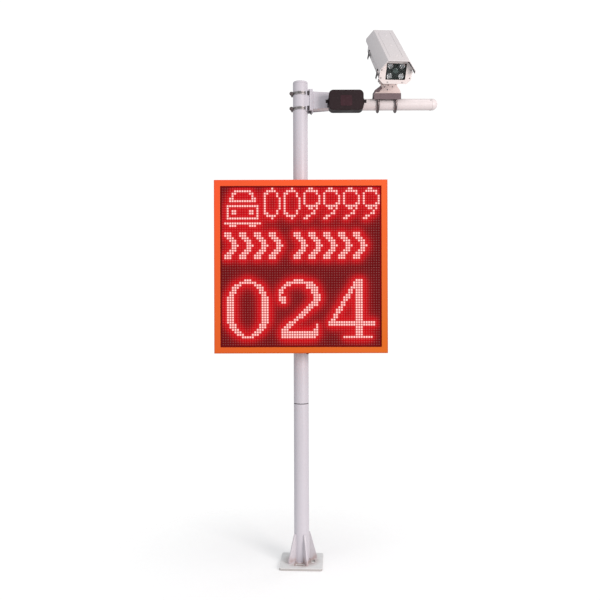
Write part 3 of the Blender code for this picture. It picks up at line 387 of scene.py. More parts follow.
# Dark sheet colour inside the sun shield, as painted shade.
SHADE_LINING = moulded("painted_shade_lining", (0.045, 0.055, 0.05), 0.8, 500.0, 0.15)
RUBBER = moulded("black_rubber", (0.015, 0.012, 0.013), 0.75, 500.0, 0.15)
RADOME = moulded("radome_moulding", (0.02, 0.009, 0.011), 0.5, 1300.0, 0.22)
RADAR_EYE = moulded("radar_window", (0.042, 0.012, 0.018), 0.5, 1500.0, 0.22)
GREY = moulded("grey_moulding", (0.3, 0.3, 0.32), 0.55)
BLUE = moulded("blue_wrap", (0.03, 0.09, 0.28), 0.35)
BOARD = circuit_board()
PANE = clear_pane("window_pane", (0.1, 0.125, 0.12), 0.14)
CLEAR = clear_pane("clear_moulding", (0.75, 0.75, 0.78), 0.35)
LENS = lens_glass()
MASK = mask_material()
LAMP = lamp_material()
BY_SLOT = {"mast_paint": MAST, "display_paint": ORANGE, "zinc_steel": ZINC, "led_face": MASK,
    "aluminium": ALLOY, "grey_plastic": GREY, "unit_case": ALLOY, "black_plastic": BLACK, "radome": RADOME,
    "circuit_board": BOARD, "dark_steel": DARK, "housing_paint": WHITE, "clear_glass": PANE,
    "lens_glass": LENS}
BY_NODE = {"base_plate": PLATE, "arm_tube": ARM_PAINTED_LIGHT, "arm_end_cap": ARM_PAINTED_LIGHT, "camera_u_bolt_left": ZINC_PAINTED_SHADE,
    "camera_u_bolt_right": ZINC_PAINTED_SHADE, "front_panel": PANEL_PAINTED_LIGHT, "camera_neck": NECK_PAINTED_SHADE, "tilt_bracket": PANEL_PAINTED_LIGHT,
    "gusset_front_left": FOOT, "gusset_front_right": FOOT, "gusset_rear_left": FOOT,
    "gusset_rear_right": RIB_PAINTED_SHADE, "battery_pack": BLUE, "joint_sleeve": RUBBER}


# ---- mesh helpers -------------------------------------------------------------------------
SMOOTH_BELOW, BEVEL_ABOVE, FLAT_WITHIN = (math.radians(angle) for angle in (34, 38, 0.4))


def point(axis, u, v, w):
    """A point from two coordinates across an axis and one along it."""
    return {"X": (w, u, v), "Y": (u, w, v), "Z": (u, v, w)}[axis]


def arc(radius, start, stop, steps, cu=0.0, cv=0.0):
    """Points of an arc between two angles in degrees."""
    angles = [math.radians(start + (stop - start) * i / steps) for i in range(steps + 1)]
    return [(cu + radius * math.cos(a), cv + radius * math.sin(a)) for a in angles]


def circle(radius, cu=0.0, cv=0.0, sides=24):
    return arc(radius, 0, 360 - 360 / sides, sides - 1, cu, cv)


def rounded(width, height, radius, cu=0.0, cv=0.0, steps=5):
    """A rectangle with round corners."""
    half_w, half_h = width / 2 - radius, height / 2 - radius
    outline = []
    for turn, (su, sv) in enumerate(((1, 1), (-1, 1), (-1, -1), (1, -1))):
        outline += arc(radius, 90 * turn, 90 * turn + 90, steps, cu + su * half_w, cv + sv * half_h)
    return outline


def prism(axis, outline, low, high, holes=()):
    """A plate of any outline with holes, between two positions along an axis."""
    solid = bmesh.new()
    edges = []
    for loop in (outline, *holes):
        corners = [solid.verts.new(point(axis, u, v, low)) for u, v in loop]
        edges += [solid.edges.new((corners[i - 1], corners[i])) for i in range(len(corners))]
    bmesh.ops.triangle_fill(solid, use_beauty=True, edges=edges)
    bmesh.ops.dissolve_limit(solid, angle_limit=0.01, verts=solid.verts, edges=solid.edges)
    grown = bmesh.ops.extrude_face_region(solid, geom=solid.faces[:] + solid.edges[:], use_keep_orig=True)
    moved = [item for item in grown["geom"] if isinstance(item, bmesh.types.BMVert)]
    bmesh.ops.translate(solid, vec=point(axis, 0, 0, high - low), verts=moved)
    return solid


def turned(profile, axis="Z", centre=(0, 0, 0), sides=32):
    """A solid turned from a closed profile of (radius, height) points."""
    solid = bmesh.new()
    rings = []
    for radius, height in profile:
        outline = circle(radius, sides=sides) if radius else [(0, 0)]
        rings.append([solid.verts.new(point(axis, u, v, height)) for u, v in outline])
    if profile[0][0]:
        rings.append(rings[0])
    for here, there in zip(rings, rings[1:]):
        for i in range(sides):
            loop = list(dict.fromkeys((here[i % len(here)], here[(i + 1) % len(here)],
                there[(i + 1) % len(there)], there[i % len(there)])))
            if len(loop) > 2:
                solid.faces.new(loop)
    bmesh.ops.translate(solid, vec=centre, verts=solid.verts)
    return solid


RIPPLE_PITCH = 0.003       # from one scale of a weld bead to the next


def swept(path, radius, sides=10, closed=False, ripple=0.0):
    """A round bar along a path, plain or rippled like a weld bead."""
    solid = bmesh.new()
    path = [Vector(place) for place in path]
    count = len(path)
    rings, side, travelled = [], None, 0.0
    for i, here in enumerate(path):
        if closed:
            ahead = path[(i + 1) % count] - path[i - 1]
        else:
            ahead = path[min(i + 1, count - 1)] - path[max(i - 1, 0)]
        ahead.normalize()
        side = side or ahead.orthogonal()
        side = (side - side.dot(ahead) * ahead).normalized()
        other = ahead.cross(side)
        size = radius * (1 + ripple * math.sin(2 * math.pi * travelled / RIPPLE_PITCH))
        rings.append([solid.verts.new(here + size * (math.cos(a) * side + math.sin(a) * other))
            for a in (2 * math.pi * k / sides for k in range(sides))])
        if i + 1 < count:
            travelled += (path[i + 1] - here).length
    for here, there in zip(rings, rings[1:] + rings[:1] if closed else rings[1:]):
        for k in range(sides):
            solid.faces.new((here[k], here[(k + 1) % sides], there[(k + 1) % sides], there[k]))
    if not closed:
        solid.faces.new(rings[0])
        solid.faces.new(rings[-1])
    return solid


def bead(start, stop, radius):
    """A straight weld bead, drawn through closely spaced points for the sake of its ripple."""
    start, stop = Vector(start), Vector(stop)
    steps = max(2, int((stop - start).length / 0.0008))
    return swept([start.lerp(stop, i / steps) for i in range(steps + 1)], radius, 6, False, 0.15)


FORWARDS, REARWARDS = (0, -1, 0), (0, 1, 0)     # the sign's front looks along -Y


def placed(solid, place, normal, spin=0.0):
    """Stand a solid made along +Z on a place, facing along a normal."""
    aim = Vector(normal).to_track_quat("Z", "Y").to_matrix().to_4x4()
    bmesh.ops.transform(solid, matrix=Matrix.Translation(place) @ aim @ Matrix.Rotation(spin, 4, "Z"),
        verts=solid.verts)
    return solid


def joined(solids):
    """One bmesh that holds several closed solids."""
    whole = bmesh.new()
    for solid in solids:
        part = bpy.data.meshes.new("part")
        bmesh.ops.recalc_face_normals(solid, faces=solid.faces)
        solid.to_mesh(part)
        solid.free()
        whole.from_mesh(part)
        bpy.data.meshes.remove(part)
    return whole


def button(radius, height, place, normal):
    """Button-head screw with a round socket, standing on a place and facing along a normal."""
    profile = ((0, 0.35), (0.4, 0.35), (0.44, 1), (0.66, 0.96), (0.88, 0.66), (1, 0.18), (1, 0), (0, 0))
    return placed(turned([(radius * r, height * h) for r, h in profile], sides=20), place, normal)


def hex_bolt(across, height, washer=0.0):
    """Hexagon head with a chamfered crown, on a round washer."""
    corner = across / math.sqrt(3)
    head = turned([(0, height), (corner * 0.84, height), (corner, height * 0.82), (corner, washer),
        (0, washer)], sides=6)
    if not washer:
        return head
    return joined([head, turned([(0, washer), (across * 0.98, washer), (across, 0), (0, 0)], sides=28)])


def piece(name, solid, slot, finish=None, body="mast", stands_for=(), bevel=0.0, place=None):
    """An object from a mesh, a bmesh or several; it rides on a body, in its slot's finish or another."""
    if isinstance(solid, list):
        solid = joined(solid)
    if isinstance(solid, bmesh.types.BMesh):
        mesh = bpy.data.meshes.new(name)
        if place is not None:
            bmesh.ops.transform(solid, matrix=place, verts=solid.verts)
        bmesh.ops.recalc_face_normals(solid, faces=solid.faces)
        solid.to_mesh(mesh)
        solid.free()
        mesh.shade_smooth()
        mesh.set_sharp_from_angle(angle=SMOOTH_BELOW)
    else:
        mesh = solid
    mesh.materials.append(finish or BY_SLOT[slot])
    thing = bpy.data.objects.new(name, mesh)
    bpy.context.scene.collection.objects.link(thing)
    if bevel:
        soften(thing, bevel)
    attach(thing, body)
    if stands_for:
        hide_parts(*stands_for)
    return thing


def soften(thing, width, segments=2):
    """Round the sharp edges of a piece."""
    edge = thing.modifiers.new("edges", "BEVEL")
    edge.width = width
    edge.segments = segments
    edge.limit_method = "ANGLE"
    edge.angle_limit = BEVEL_ABOVE
    edge.harden_normals = True


def weld_group():
    """Geometry nodes that join a loaded node's loose faces and shade them smooth."""
    group = bpy.data.node_groups.new("weld", "GeometryNodeTree")
    for way in ("INPUT", "OUTPUT"):
        group.interface.new_socket("Geometry", in_out=way, socket_type="NodeSocketGeometry")
    steps = [group.nodes.new(kind) for kind in ("NodeGroupInput", "GeometryNodeMergeByDistance",
        "GeometryNodeRemoveAttribute", "GeometryNodeSetShadeSmooth", "NodeGroupOutput")]
    steps[1].inputs["Distance"].default_value = 1e-5
    steps[2].inputs["Name"].default_value = "custom_normal"
    for here, there in zip(steps, steps[1:]):
        group.links.new(here.outputs[0], there.inputs[0])
    return group


EDGE = {"bezel": 0.0012, "cabinet_shell": 0.0008, "base_plate": 0.0012, "housing_cover": 0.0016,
    "housing_tray": 0.0016, "front_panel": 0.001, "camera_neck": 0.0012, "camera_saddle": 0.0012,
    "radar_front_cover": 0.001, "radar_rear_shell": 0.001, "door_left": 0.0008, "door_right": 0.0008,
    "sun_shield": 0.0004, "window_glass": 0.0003, "arm_root": 0.0008, "arm_saddle": 0.0008,
    "rail_top": 0.0008, "rail_bottom": 0.0008}
PIERCED = ("bezel", "carrier_plate")      # frames with openings keep their faces as they are


def dress_nodes():
    """Give every CAD node its finish, smooth shading and softened edges."""
    group = weld_group()
    for name, thing in NODES.items():
        finish = BY_NODE.get(name, BY_SLOT[SLOTS[name]])
        for holder in thing.material_slots:
            holder.link = "OBJECT"
            holder.material = finish
        thing.modifiers.new("weld", "NODES").node_group = group
        if name not in PIERCED:
            planes = thing.modifiers.new("planes", "DECIMATE")
            planes.decimate_type = "DISSOLVE"
            planes.angle_limit = FLAT_WITHIN
        soften(thing, EDGE.get(name, 0.0005))


# ---- camera, light and floor --------------------------------------------------------------
def build_stage():
    """Level camera in front of the mast, soft studio light and a pale floor that fades out."""
    camera = bpy.data.objects.new("camera", bpy.data.cameras.new("camera"))
    camera.location = (-0.004, -2.9, 1.11)
    camera.rotation_euler = (math.pi / 2, math.radians(0.17), 0)
    camera.data.lens = 41.19
    camera.data.sensor_width = 36.0
    bpy.context.scene.collection.objects.link(camera)
    bpy.context.scene.camera = camera

    world = bpy.data.worlds.new("studio")
    world.use_nodes = True
    tree = world.node_tree
    room = tree.nodes["Background"]
    room.inputs["Color"].default_value = (0.96, 0.98, 1.0, 1.0)
    room.inputs["Strength"].default_value = 0.6
    backdrop = tree.nodes.new("ShaderNodeBackground")
    backdrop.inputs["Color"].default_value = (1.0, 1.0, 1.0, 1.0)
    backdrop.inputs["Strength"].default_value = 1.05
    chooser = tree.nodes.new("ShaderNodeMixShader")
    tree.links.new(tree.nodes.new("ShaderNodeLightPath").outputs["Is Camera Ray"], chooser.inputs[0])
    tree.links.new(room.outputs[0], chooser.inputs[1])
    tree.links.new(backdrop.outputs[0], chooser.inputs[2])
    tree.links.new(chooser.outputs[0], tree.nodes["World Output"].inputs["Surface"])
    bpy.context.scene.world = world
    bpy.context.scene.view_settings.view_transform = "Standard"

    lights = {"key": ((2.5, -3.3, 1.7), 1.6, 108.0, (1.0, 0.93, 0.91)),
              "fill": ((-2.8, -2.6, 1.7), 1.8, 14.0, (0.95, 0.97, 1.0)),
              "top": ((0.6, -0.9, 4.4), 1.6, 16.0, (1.0, 0.97, 0.96)),
              "rear": ((2.6, 3.0, 2.8), 2.2, 16.0, (1.0, 1.0, 1.0))}
    for name, (place, size, power, colour) in lights.items():
        light = bpy.data.lights.new(name, "AREA")
        light.size, light.energy, light.color = size, power, colour
        lamp = bpy.data.objects.new(name, light)
        lamp.location = place
        lamp.rotation_euler = (Vector((0.1, 0, 1.3)) - Vector(place)).to_track_quat("-Z", "Y").to_euler()
        bpy.context.scene.collection.objects.link(lamp)

    floor = bpy.data.objects.new("floor", bpy.data.meshes.new("floor"))
    ground = bmesh.new()
    bmesh.ops.create_circle(ground, cap_ends=True, segments=96, radius=4.0)
    ground.to_mesh(floor.data)
    ground.free()
    floor.location.z = cad_box[0][2] - 0.0005
    bpy.context.scene.collection.objects.link(floor)
    shade = Shade("floor", (0.95, 0.95, 0.95), 0.9, Specular_IOR_Level=0.1, Emission_Strength=0.14)
    shade.set("Emission Color", (1.0, 1.0, 1.0, 1.0))
    shade.feed("Alpha", shade.between(shade.reach(), 0.25, 1.1, 0.9, 0.0))
    floor.data.materials.append(shade.material)


# ---- lamp display -------------------------------------------------------------------------
GRID = 64
PITCH = 0.01
MODULES = (("upper", "left"), ("upper", "right"), ("lower", "left"), ("lower", "right"))


def near_line(points, reach, u, v):
    """Which lamps lie within reach of a line of points; columns run right, rows run down."""
    lit = np.zeros(u.shape, bool)
    for (u0, v0), (u1, v1) in zip(points, points[1:]):
        du, dv = u1 - u0, v1 - v0
        t = np.clip(((u - u0) * du + (v - v0) * dv) / (du * du + dv * dv), 0, 1)
        lit |= np.hypot(u - u0 - t * du, v - v0 - t * dv) <= reach
    return lit


def bow(cu, cv, ru, rv, start, stop, steps=24):
    """Points of an elliptic arc; angles in degrees, 0 to the right and 90 up."""
    return [(cu + u * ru, cv - v * rv) for u, v in arc(1.0, start, stop, steps)]


def lamp_pattern():
    """The lit lamps: a vehicle symbol, thin digits, two groups of chevrons and a speed."""
    v, u = np.mgrid[0:GRID, 0:GRID].astype(float)
    lit = np.zeros((GRID, GRID), bool)

    def draw(points, reach=0.55):
        nonlocal lit
        lit |= near_line(points, reach, u, v)

    # front of a car: roof and screen, body, lamps, bumper, wheels
    draw([(5, 1), (11, 1), (13, 5), (3, 5), (5, 1)])
    draw([(2, 7), (14, 7), (14, 12), (2, 12), (2, 7)])
    draw([(4, 9.5), (5, 9.5)], 0.8)
    draw([(11, 9.5), (12, 9.5)], 0.8)
    draw([(1, 14), (15, 14)])
    draw([(3, 15), (5, 15)], 0.6)
    draw([(11, 15), (13, 15)], 0.6)

    # six thin digits: 0 0 9 9 9 9
    for place in range(6):
        left = 16.5 + 8 * place
        if place < 2:
            draw(bow(left + 3.2, 6, 3.1, 5.6, 0, 360))
        else:
            draw(bow(left + 3.2, 4, 3.1, 3.6, 0, 360))
            draw(bow(left - 0.6, 4, 6.9, 7.8, 0, -78))

    # bold chevrons in two groups
    for place in range(9):
        left = 2 + 6 * place + (4 if place > 3 else 0)
        draw([(left, 18.5), (left + 3.2, 23), (left, 27.5)], 1.12)

    # the speed in large numerals with thick and thin strokes: 0 2 4
    outer = np.hypot((u - 10) / 9.0, (v - 48.7) / 11.8)
    inner = np.hypot((u - 10) / 6.0, (v - 48.7) / 10.7)
    lit |= (outer <= 1) & (inner >= 1)
    draw(bow(30.5, 43.6, 7.4, 6.0, 195, 30), 0.75)
    draw([(23.6, 44.4), (24.4, 45.0)], 1.3)
    draw(bow(30.5, 43.8, 7.2, 6.2, 55, -25), 1.5)
    draw([(36.6, 46.8), (24.4, 57.5)], 0.95)
    draw([(24.4, 59.2), (36.8, 59.2)], 1.35)
    draw([(37.2, 58.4), (38.2, 55.6)], 0.7)
    draw([(54, 37.5), (44.2, 53.5)], 0.9)
    draw([(43.6, 54.5), (60.2, 54.5)], 0.95)
    draw([(55, 38), (55, 58.6)], 1.5)
    draw([(49.5, 60), (60, 60)], 0.7)
    return lit


def painted_glow_field(lit):
    """A function giving the red light painted over the display as emission, at any place, in lamp units."""
    lit_at = np.argwhere(lit).astype(float)

    def painted_glow(u, v):
        total = np.zeros(len(u))
        for row, column in lit_at:
            square = (u - column) ** 2 + (v - row) ** 2
            total += sum(share * np.exp(-square / spread)
                for share, spread in ((0.95, 2.6), (0.115, 9.0), (0.003, 70.0)))
        return 1.0 - np.exp(-total)
    return painted_glow


def mesh_with(name, verts, faces, values):
    """A mesh with named values at its points."""
    mesh = bpy.data.meshes.new(name)
    mesh.from_pydata(verts, [], faces)
    for layer, numbers in values.items():
        made = mesh.attributes.new(layer, "FLOAT", "POINT")
        made.data.foreach_set("value", np.asarray(numbers, np.float32))
    return mesh


def build_display():
    """Lamp masks and domes of the four modules, and the dark seal between them and the frame, which also
    stands for the shade along the frame's inner edge as painted shade.
    """
    lit = lamp_pattern()
    painted_glow = painted_glow_field(lit)
    low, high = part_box("bezel")
    middle = (low + high) / 2

    def lamp_units(points):
        return ((points[:, 0] - middle.x) / PITCH + GRID / 2 - 0.5,
            (middle.z - points[:, 2]) / PITCH + GRID / 2 - 0.5)

    for row, column in MODULES:
        first = (GRID // 2 * (row == "lower"), GRID // 2 * (column == "right"))
        build_module(f"{row}_{column}", lit, painted_glow, lamp_units, middle, first)

    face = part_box("led_module_upper_left")[0].y
    opening = high.x - 0.025
    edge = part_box("led_module_upper_right")[1].x
    upright = [[(s * opening, -opening), (s * opening, opening), (s * edge, edge), (s * edge, -edge)]
        for s in (-1, 1)]
    level = [[(u, v) for v, u in strip] for strip in upright]
    ring = joined([prism("Y", strip, face + 0.0006, face + 0.004) for strip in upright + level])
    bmesh.ops.translate(ring, vec=(0, 0, middle.z), verts=ring.verts)
    points = np.array([corner.co for corner in ring.verts])
    seal = piece("display_seal", ring, "led_face")
    # Red light from the lit lamps, painted on the seal as emission at half strength.
    values = painted_glow(*lamp_units(points))
    layer = seal.data.attributes.new("painted_glow", "FLOAT", "POINT")
    layer.data.foreach_set("value", np.asarray(values * 0.5, np.float32))


def build_module(name, lit, painted_glow, lamp_units, middle, first):
    """One 32 by 32 lamp module: a closed mask of square cells with a dome in each."""
    low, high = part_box(f"led_module_{name}")
    count = GRID // 2
    face, floor = low.y, low.y + 0.002
    rim, well = 0.00445, 0.0041
    cells = [(k, i, middle.x + (first[1] + i - GRID / 2 + 0.5) * PITCH,
        middle.z - (first[0] + k - GRID / 2 + 0.5) * PITCH) for k in range(count) for i in range(count)]

    verts = [(x, face, z) for z in np.linspace(high.z, low.z, count + 1)
        for x in np.linspace(low.x, high.x, count + 1)]
    own = [0.0] * len(verts)
    faces = []
    for k, i, x, z in cells:
        start = len(verts)
        for reach, y in ((rim, face), (well, floor)):
            verts += [(x - reach, y, z + reach), (x + reach, y, z + reach), (x + reach, y, z - reach),
                (x - reach, y, z - reach)]
            own += [float(lit[first[0] + k, first[1] + i] and y == floor)] * 4
        corner = [k * (count + 1) + i, k * (count + 1) + i + 1, (k + 1) * (count + 1) + i + 1,
            (k + 1) * (count + 1) + i]
        for side in range(4):
            after = (side + 1) % 4
            faces.append((corner[side], corner[after], start + after, start + side))
            faces.append((start + side, start + after, start + 4 + after, start + 4 + side))
        faces.append((start + 4, start + 5, start + 6, start + 7))
    width = count + 1
    border = (list(range(width)) + [k * width + count for k in range(1, width)]
        + [count * width + i for i in range(count - 1, -1, -1)]
        + [k * width for k in range(count - 1, 0, -1)])
    back = len(verts)
    verts += [(verts[i][0], high.y, verts[i][2]) for i in border]
    own += [0.0] * len(border)
    for i in range(len(border)):
        after = (i + 1) % len(border)
        faces.append((border[after], border[i], back + i, back + after))
    faces.append(tuple(range(back, back + len(border))))
    # Red light from the lit lamps, painted on the mask as emission; the mask's back gets none.
    points = np.array(verts)
    depth = np.clip((points[:, 1] - face) / (floor - face), 0, 1)
    unlit_back = -1.0
    painted_shine = painted_glow(*lamp_units(points)) * (0.18 + 0.82 * depth)
    spread = np.where(points[:, 1] > floor + 0.001, unlit_back, painted_shine)
    mask = mesh_with(f"lamp_mask_{name}", verts, faces, {"painted_glow": spread, "own": own})
    piece(f"lamp_mask_{name}", mask, "led_face", stands_for=[f"led_module_{name}"])

    sides, radius, height = 8, 0.0034, 0.0022
    verts, faces, heat = [], [], []
    for k, i, x, z in cells:
        on = float(lit[first[0] + k, first[1] + i])
        start = len(verts)
        for share, rise, warmth in ((1.0, 0.0, 0.3), (0.8, 0.6, 0.85)):
            verts += [(x + u, floor - height * rise, z + w) for u, w in circle(radius * share, sides=sides)]
            heat += [warmth * on] * sides
        verts.append((x, floor - height, z))
        heat.append(on)
        for s in range(sides):
            after = (s + 1) % sides
            faces.append((start + s, start + after, start + sides + after, start + sides + s))
            faces.append((start + sides + s, start + sides + after, start + 2 * sides))
        faces.append(tuple(start + sides - 1 - s for s in range(sides)))
    domes = mesh_with(f"lamps_{name}", verts, faces, {"lit_core": heat,
        "painted_glow": painted_glow(*lamp_units(np.array(verts)))})
    domes.shade_smooth()
    piece(f"lamps_{name}", domes, "led_face", LAMP)


# ---- mast ---------------------------------------------------------------------------------
def build_mast():
    """Seal of the pole joint and weld beads at the foot."""
    low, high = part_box("upper_pole")
    pole_r = high.x
    seam_low, seam_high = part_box("lower_pole")[1].z, low.z
    inner = pole_r - 0.003
    seal = turned([(inner, seam_low + 0.0001), (pole_r - 0.0012, seam_low + 0.0001),
        (pole_r - 0.0007, (seam_low + seam_high) / 2), (pole_r - 0.0012, seam_high - 0.0001),
        (inner, seam_high - 0.0001)], sides=64)
    piece("pole_joint_seal", seal, "black_plastic", RUBBER)

    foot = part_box("base_plate")[1].z
    ring = [(u, v, foot + 0.0012) for u, v in circle(pole_r + 0.0008, sides=220)]
    beads = [swept(ring, 0.0026, 8, True, 0.13)]
    for name in ("front_left", "front_right", "rear_left", "rear_right"):
        rib_low, rib_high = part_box(f"gusset_{name}")
        middle = (rib_low + rib_high) / 2
        angle = math.atan2(middle.y, middle.x)
        out = Vector((math.cos(angle), math.sin(angle), 0))
        aside = Vector((-out.y, out.x, 0)) * 0.0036
        reach = max(corner.co.dot(out) for corner in NODES[f"gusset_{name}"].data.vertices)
        for side in (-1, 1):
            root, start, end = ((out * far + side * aside).xy
                for far in (pole_r + 0.0006, pole_r + 0.005, reach))
            beads.append(bead((*start, foot + 0.001), (*end, foot + 0.001), 0.0019))
            beads.append(bead((*root, foot + 0.008), (*root, rib_high.z - 0.002), 0.0017))
    piece("foot_welds", beads, "mast_paint", FOOT)


def build_bands():
    """Worm-drive bands around the mast: slotted strip over black rubber that also darkens the slots as
    painted shade, case and screw.
    """
    pole_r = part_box("upper_pole")[1].x
    steps, thick, half = 180, 0.0009, 0.0065       # strips, thickness and half height of a band
    inner = pole_r + 0.0005
    levels = (-0.0062, -0.004, 0.004, 0.0062)
    for name in ("top", "bottom"):
        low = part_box(f"band_clamp_{name}")[0]
        z = low.z + half

        def open_at(step, row):
            """Slots in every other step of the strip's middle, round the front and the far side."""
            angle = 360 * (step % steps) / steps
            return row == 1 and step % 2 == 0 and 200 < angle < 345

        strip = bmesh.new()
        grid = {}

        def corner(step, level, outside):
            key = (step % steps, level, outside)
            if key not in grid:
                u, v = arc(inner + thick * outside, 360 * (step % steps) / steps, 360, 1)[0]
                grid[key] = strip.verts.new((u, v, z + levels[level]))
            return grid[key]

        for step in range(steps):
            for row in range(3):
                if open_at(step, row):
                    continue
                for outside in (0, 1):
                    strip.faces.new((corner(step, row, outside), corner(step + 1, row, outside),
                        corner(step + 1, row + 1, outside), corner(step, row + 1, outside)))
                for there, first, second in (((step, row - 1), (step, row), (step + 1, row)),
                        ((step, row + 1), (step, row + 1), (step + 1, row + 1)),
                        ((step - 1, row), (step, row), (step, row + 1)),
                        ((step + 1, row), (step + 1, row), (step + 1, row + 1))):
                    if not 0 <= there[1] < 3 or open_at(*there):
                        strip.faces.new((corner(*first, 0), corner(*second, 0), corner(*second, 1),
                            corner(*first, 1)))
        outer = inner + thick
        case_x = low.x
        case = prism("Y", [(-outer + 0.001, z - half), (case_x + 0.0025, z - half),
            *arc(0.003, 250, 110, 8, case_x + 0.003, z + 0.001), (case_x + 0.0025, z + 0.0085),
            (-outer + 0.001, z + 0.0085)], -0.006, 0.018)
        threads = [(0.0022, -0.0105)]
        for k in range(16):
            y = -0.0105 + 0.002 * k
            threads += [(0.0035, y + 0.0004), (0.0035, y + 0.001), (0.0027, y + 0.0013),
                (0.0027, y + 0.0019)]
        screw_at = (case_x + 0.0032, 0, z + 0.001)
        screw = turned([(0, -0.0105), *threads, (0, threads[-1][1])], "Y", screw_at, 16)
        head = placed(hex_bolt(0.0085, 0.0048, 0.0008), (screw_at[0], -0.0112, screw_at[2]), FORWARDS)
        piece(f"band_strip_{name}", strip, "zinc_steel", stands_for=[f"band_clamp_{name}"])
        piece(f"band_screw_{name}", [case, screw, head], "zinc_steel", ZINC_PAINTED_SHADE, bevel=0.0004)
        # A near-black block and strap where the band meets the arm's saddle, standing for the shade in the
        # saddle's notch as painted shade.
        shade_hook = prism("Y", rounded(0.0075, 0.019, 0.0012, 0.0335, z - 0.001), -0.0292, -0.026)
        strap = prism("Z", [(0.03, -0.0259), (0.024, -0.0222), (0.0246, -0.0212), (0.0306, -0.0247)],
            z - 0.006, z + 0.006)
        piece(f"band_hook_painted_shade_{name}", [shade_hook, strap], "dark_steel", SHADE_BLACK, bevel=0.0005)
        # Black rubber under the strip, which also makes the slots read dark as painted shade.
        shade_liner = turned([(pole_r + 0.00008, z - 0.0066), (pole_r + 0.0004, z - 0.0066),
            (pole_r + 0.0004, z + 0.0066), (pole_r + 0.00008, z + 0.0066)], sides=96)
        piece(f"band_liner_painted_shade_{name}", shade_liner, "black_plastic", RUBBER)


def build_arm():
    """Weld beads of the crossarm's root, a near-black plate and nut under its saddle that stand for the
    saddle's shaded underside as painted shade, and the screws of its end cap.
    """
    low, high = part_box("arm_root")
    tube_low, tube_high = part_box("arm_tube")
    axis_z = (tube_low.z + tube_high.z) / 2
    plate = tube_low.x - 0.0003
    beads = []
    for side in (-1, 1):
        y = side * (tube_high.y + 0.0003 + 0.0046)
        beads.append(bead((plate + 0.0006, y, low.z + 0.008), (plate + 0.0006, y, high.z - 0.013), 0.0019))
    ring = [(plate + 0.0006, u, axis_z + v) for u, v in circle(tube_high.y + 0.0004, sides=200)]
    beads.append(swept(ring, 0.002, 6, True, 0.15))
    piece("arm_welds", beads, "mast_paint")
    saddle_low, saddle_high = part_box("arm_saddle")
    plate_x = saddle_high.x
    # A near-black plate and nut below the saddle, as painted shade for the saddle's underside.
    shade_tab_plate = prism("Y", [(plate_x - 0.0125, saddle_low.z - 0.0003), (plate_x + 0.001, saddle_low.z - 0.0003),
        (plate_x + 0.001, saddle_low.z - 0.018), (plate_x - 0.0015, saddle_low.z - 0.018)], -0.024, -0.02)
    nut = placed(hex_bolt(0.007, 0.003), (plate_x - 0.0035, -0.024, saddle_low.z - 0.007), FORWARDS)
    piece("saddle_shade_tab", [shade_tab_plate, nut], "dark_steel", SHADE_BLACK, bevel=0.0004)
    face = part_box("arm_end_cap")[0].x + 0.0145
    screws = [button(0.0032, 0.0018, (face - 0.007, math.sin(a) * tube_high.y * 0.995,
        axis_z + math.cos(a) * tube_high.y * 0.995), (0, math.sin(a), math.cos(a)))
        for a in (math.radians(180), math.radians(60), math.radians(-60))]
    piece("end_cap_screws", screws, "zinc_steel")


# ---- cabinet, seen from its sides, from behind and through the open doors ------------------
def build_case_trim():
    """Screws round the front frame's returns, bolts of the rails and details of the cable gland."""
    low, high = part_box("bezel")
    middle = (low + high) / 2
    y = high.y - 0.005
    screws = []
    for along in (-0.27, -0.09, 0.09, 0.27):
        for side in (-1, 1):
            screws += [button(0.0036, 0.0018, (middle.x + side * high.x, y, middle.z + along), (side, 0, 0)),
                button(0.0036, 0.0018, (along, y, middle.z + side * (high.z - middle.z)), (0, 0, side))]
    piece("frame_screws", screws, "zinc_steel")

    bolts = []
    for name in ("top", "bottom"):
        rail_low, rail_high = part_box(f"rail_{name}")
        z = (rail_low.z + rail_high.z) / 2
        for i, x in enumerate((-0.235, -0.13, 0.13, 0.235)):
            bolts.append(placed(hex_bolt(0.01, 0.0056, 0.0012), (x, rail_high.y, z), REARWARDS, 0.3 * i))
    piece("rail_bolts", bolts, "zinc_steel")

    low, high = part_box("cable_gland")
    at = ((low.x + high.x) / 2, high.y, (low.z + high.z) / 2)
    dome = turned([(0.0052, -0.001), (0.0104, -0.001), (0.0104, 0.003), (0.0088, 0.0062), (0.0062, 0.0074),
        (0.0052, 0.0074)], "Y", at, 18)
    plug = turned([(0, -0.006), (0.0048, -0.006), (0.0048, 0.0078), (0, 0.0088)], "Y", at, 18)
    piece("gland_dome", [dome, plug], "black_plastic")

    low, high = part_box("handhole_cover")
    apart = 0.0595
    heads = [button(0.0052, 0.0016, (0, high.y, (low.z + high.z) / 2 + side * apart), REARWARDS)
        for side in (-1, 1)]
    piece("handhole_screws", heads, "zinc_steel")

    low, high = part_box("cabinet_shell")
    drain = turned([(0, -0.01), (0.004, -0.0098), (0.0068, -0.0072), (0.0068, -0.003), (0.0052, -0.0022),
        (0.0052, -0.0002), (0, -0.0002)], "Z", (0.026, (low.y + high.y) / 2 - 0.005, low.z), 20)
    piece("drain_plug", drain, "black_plastic")


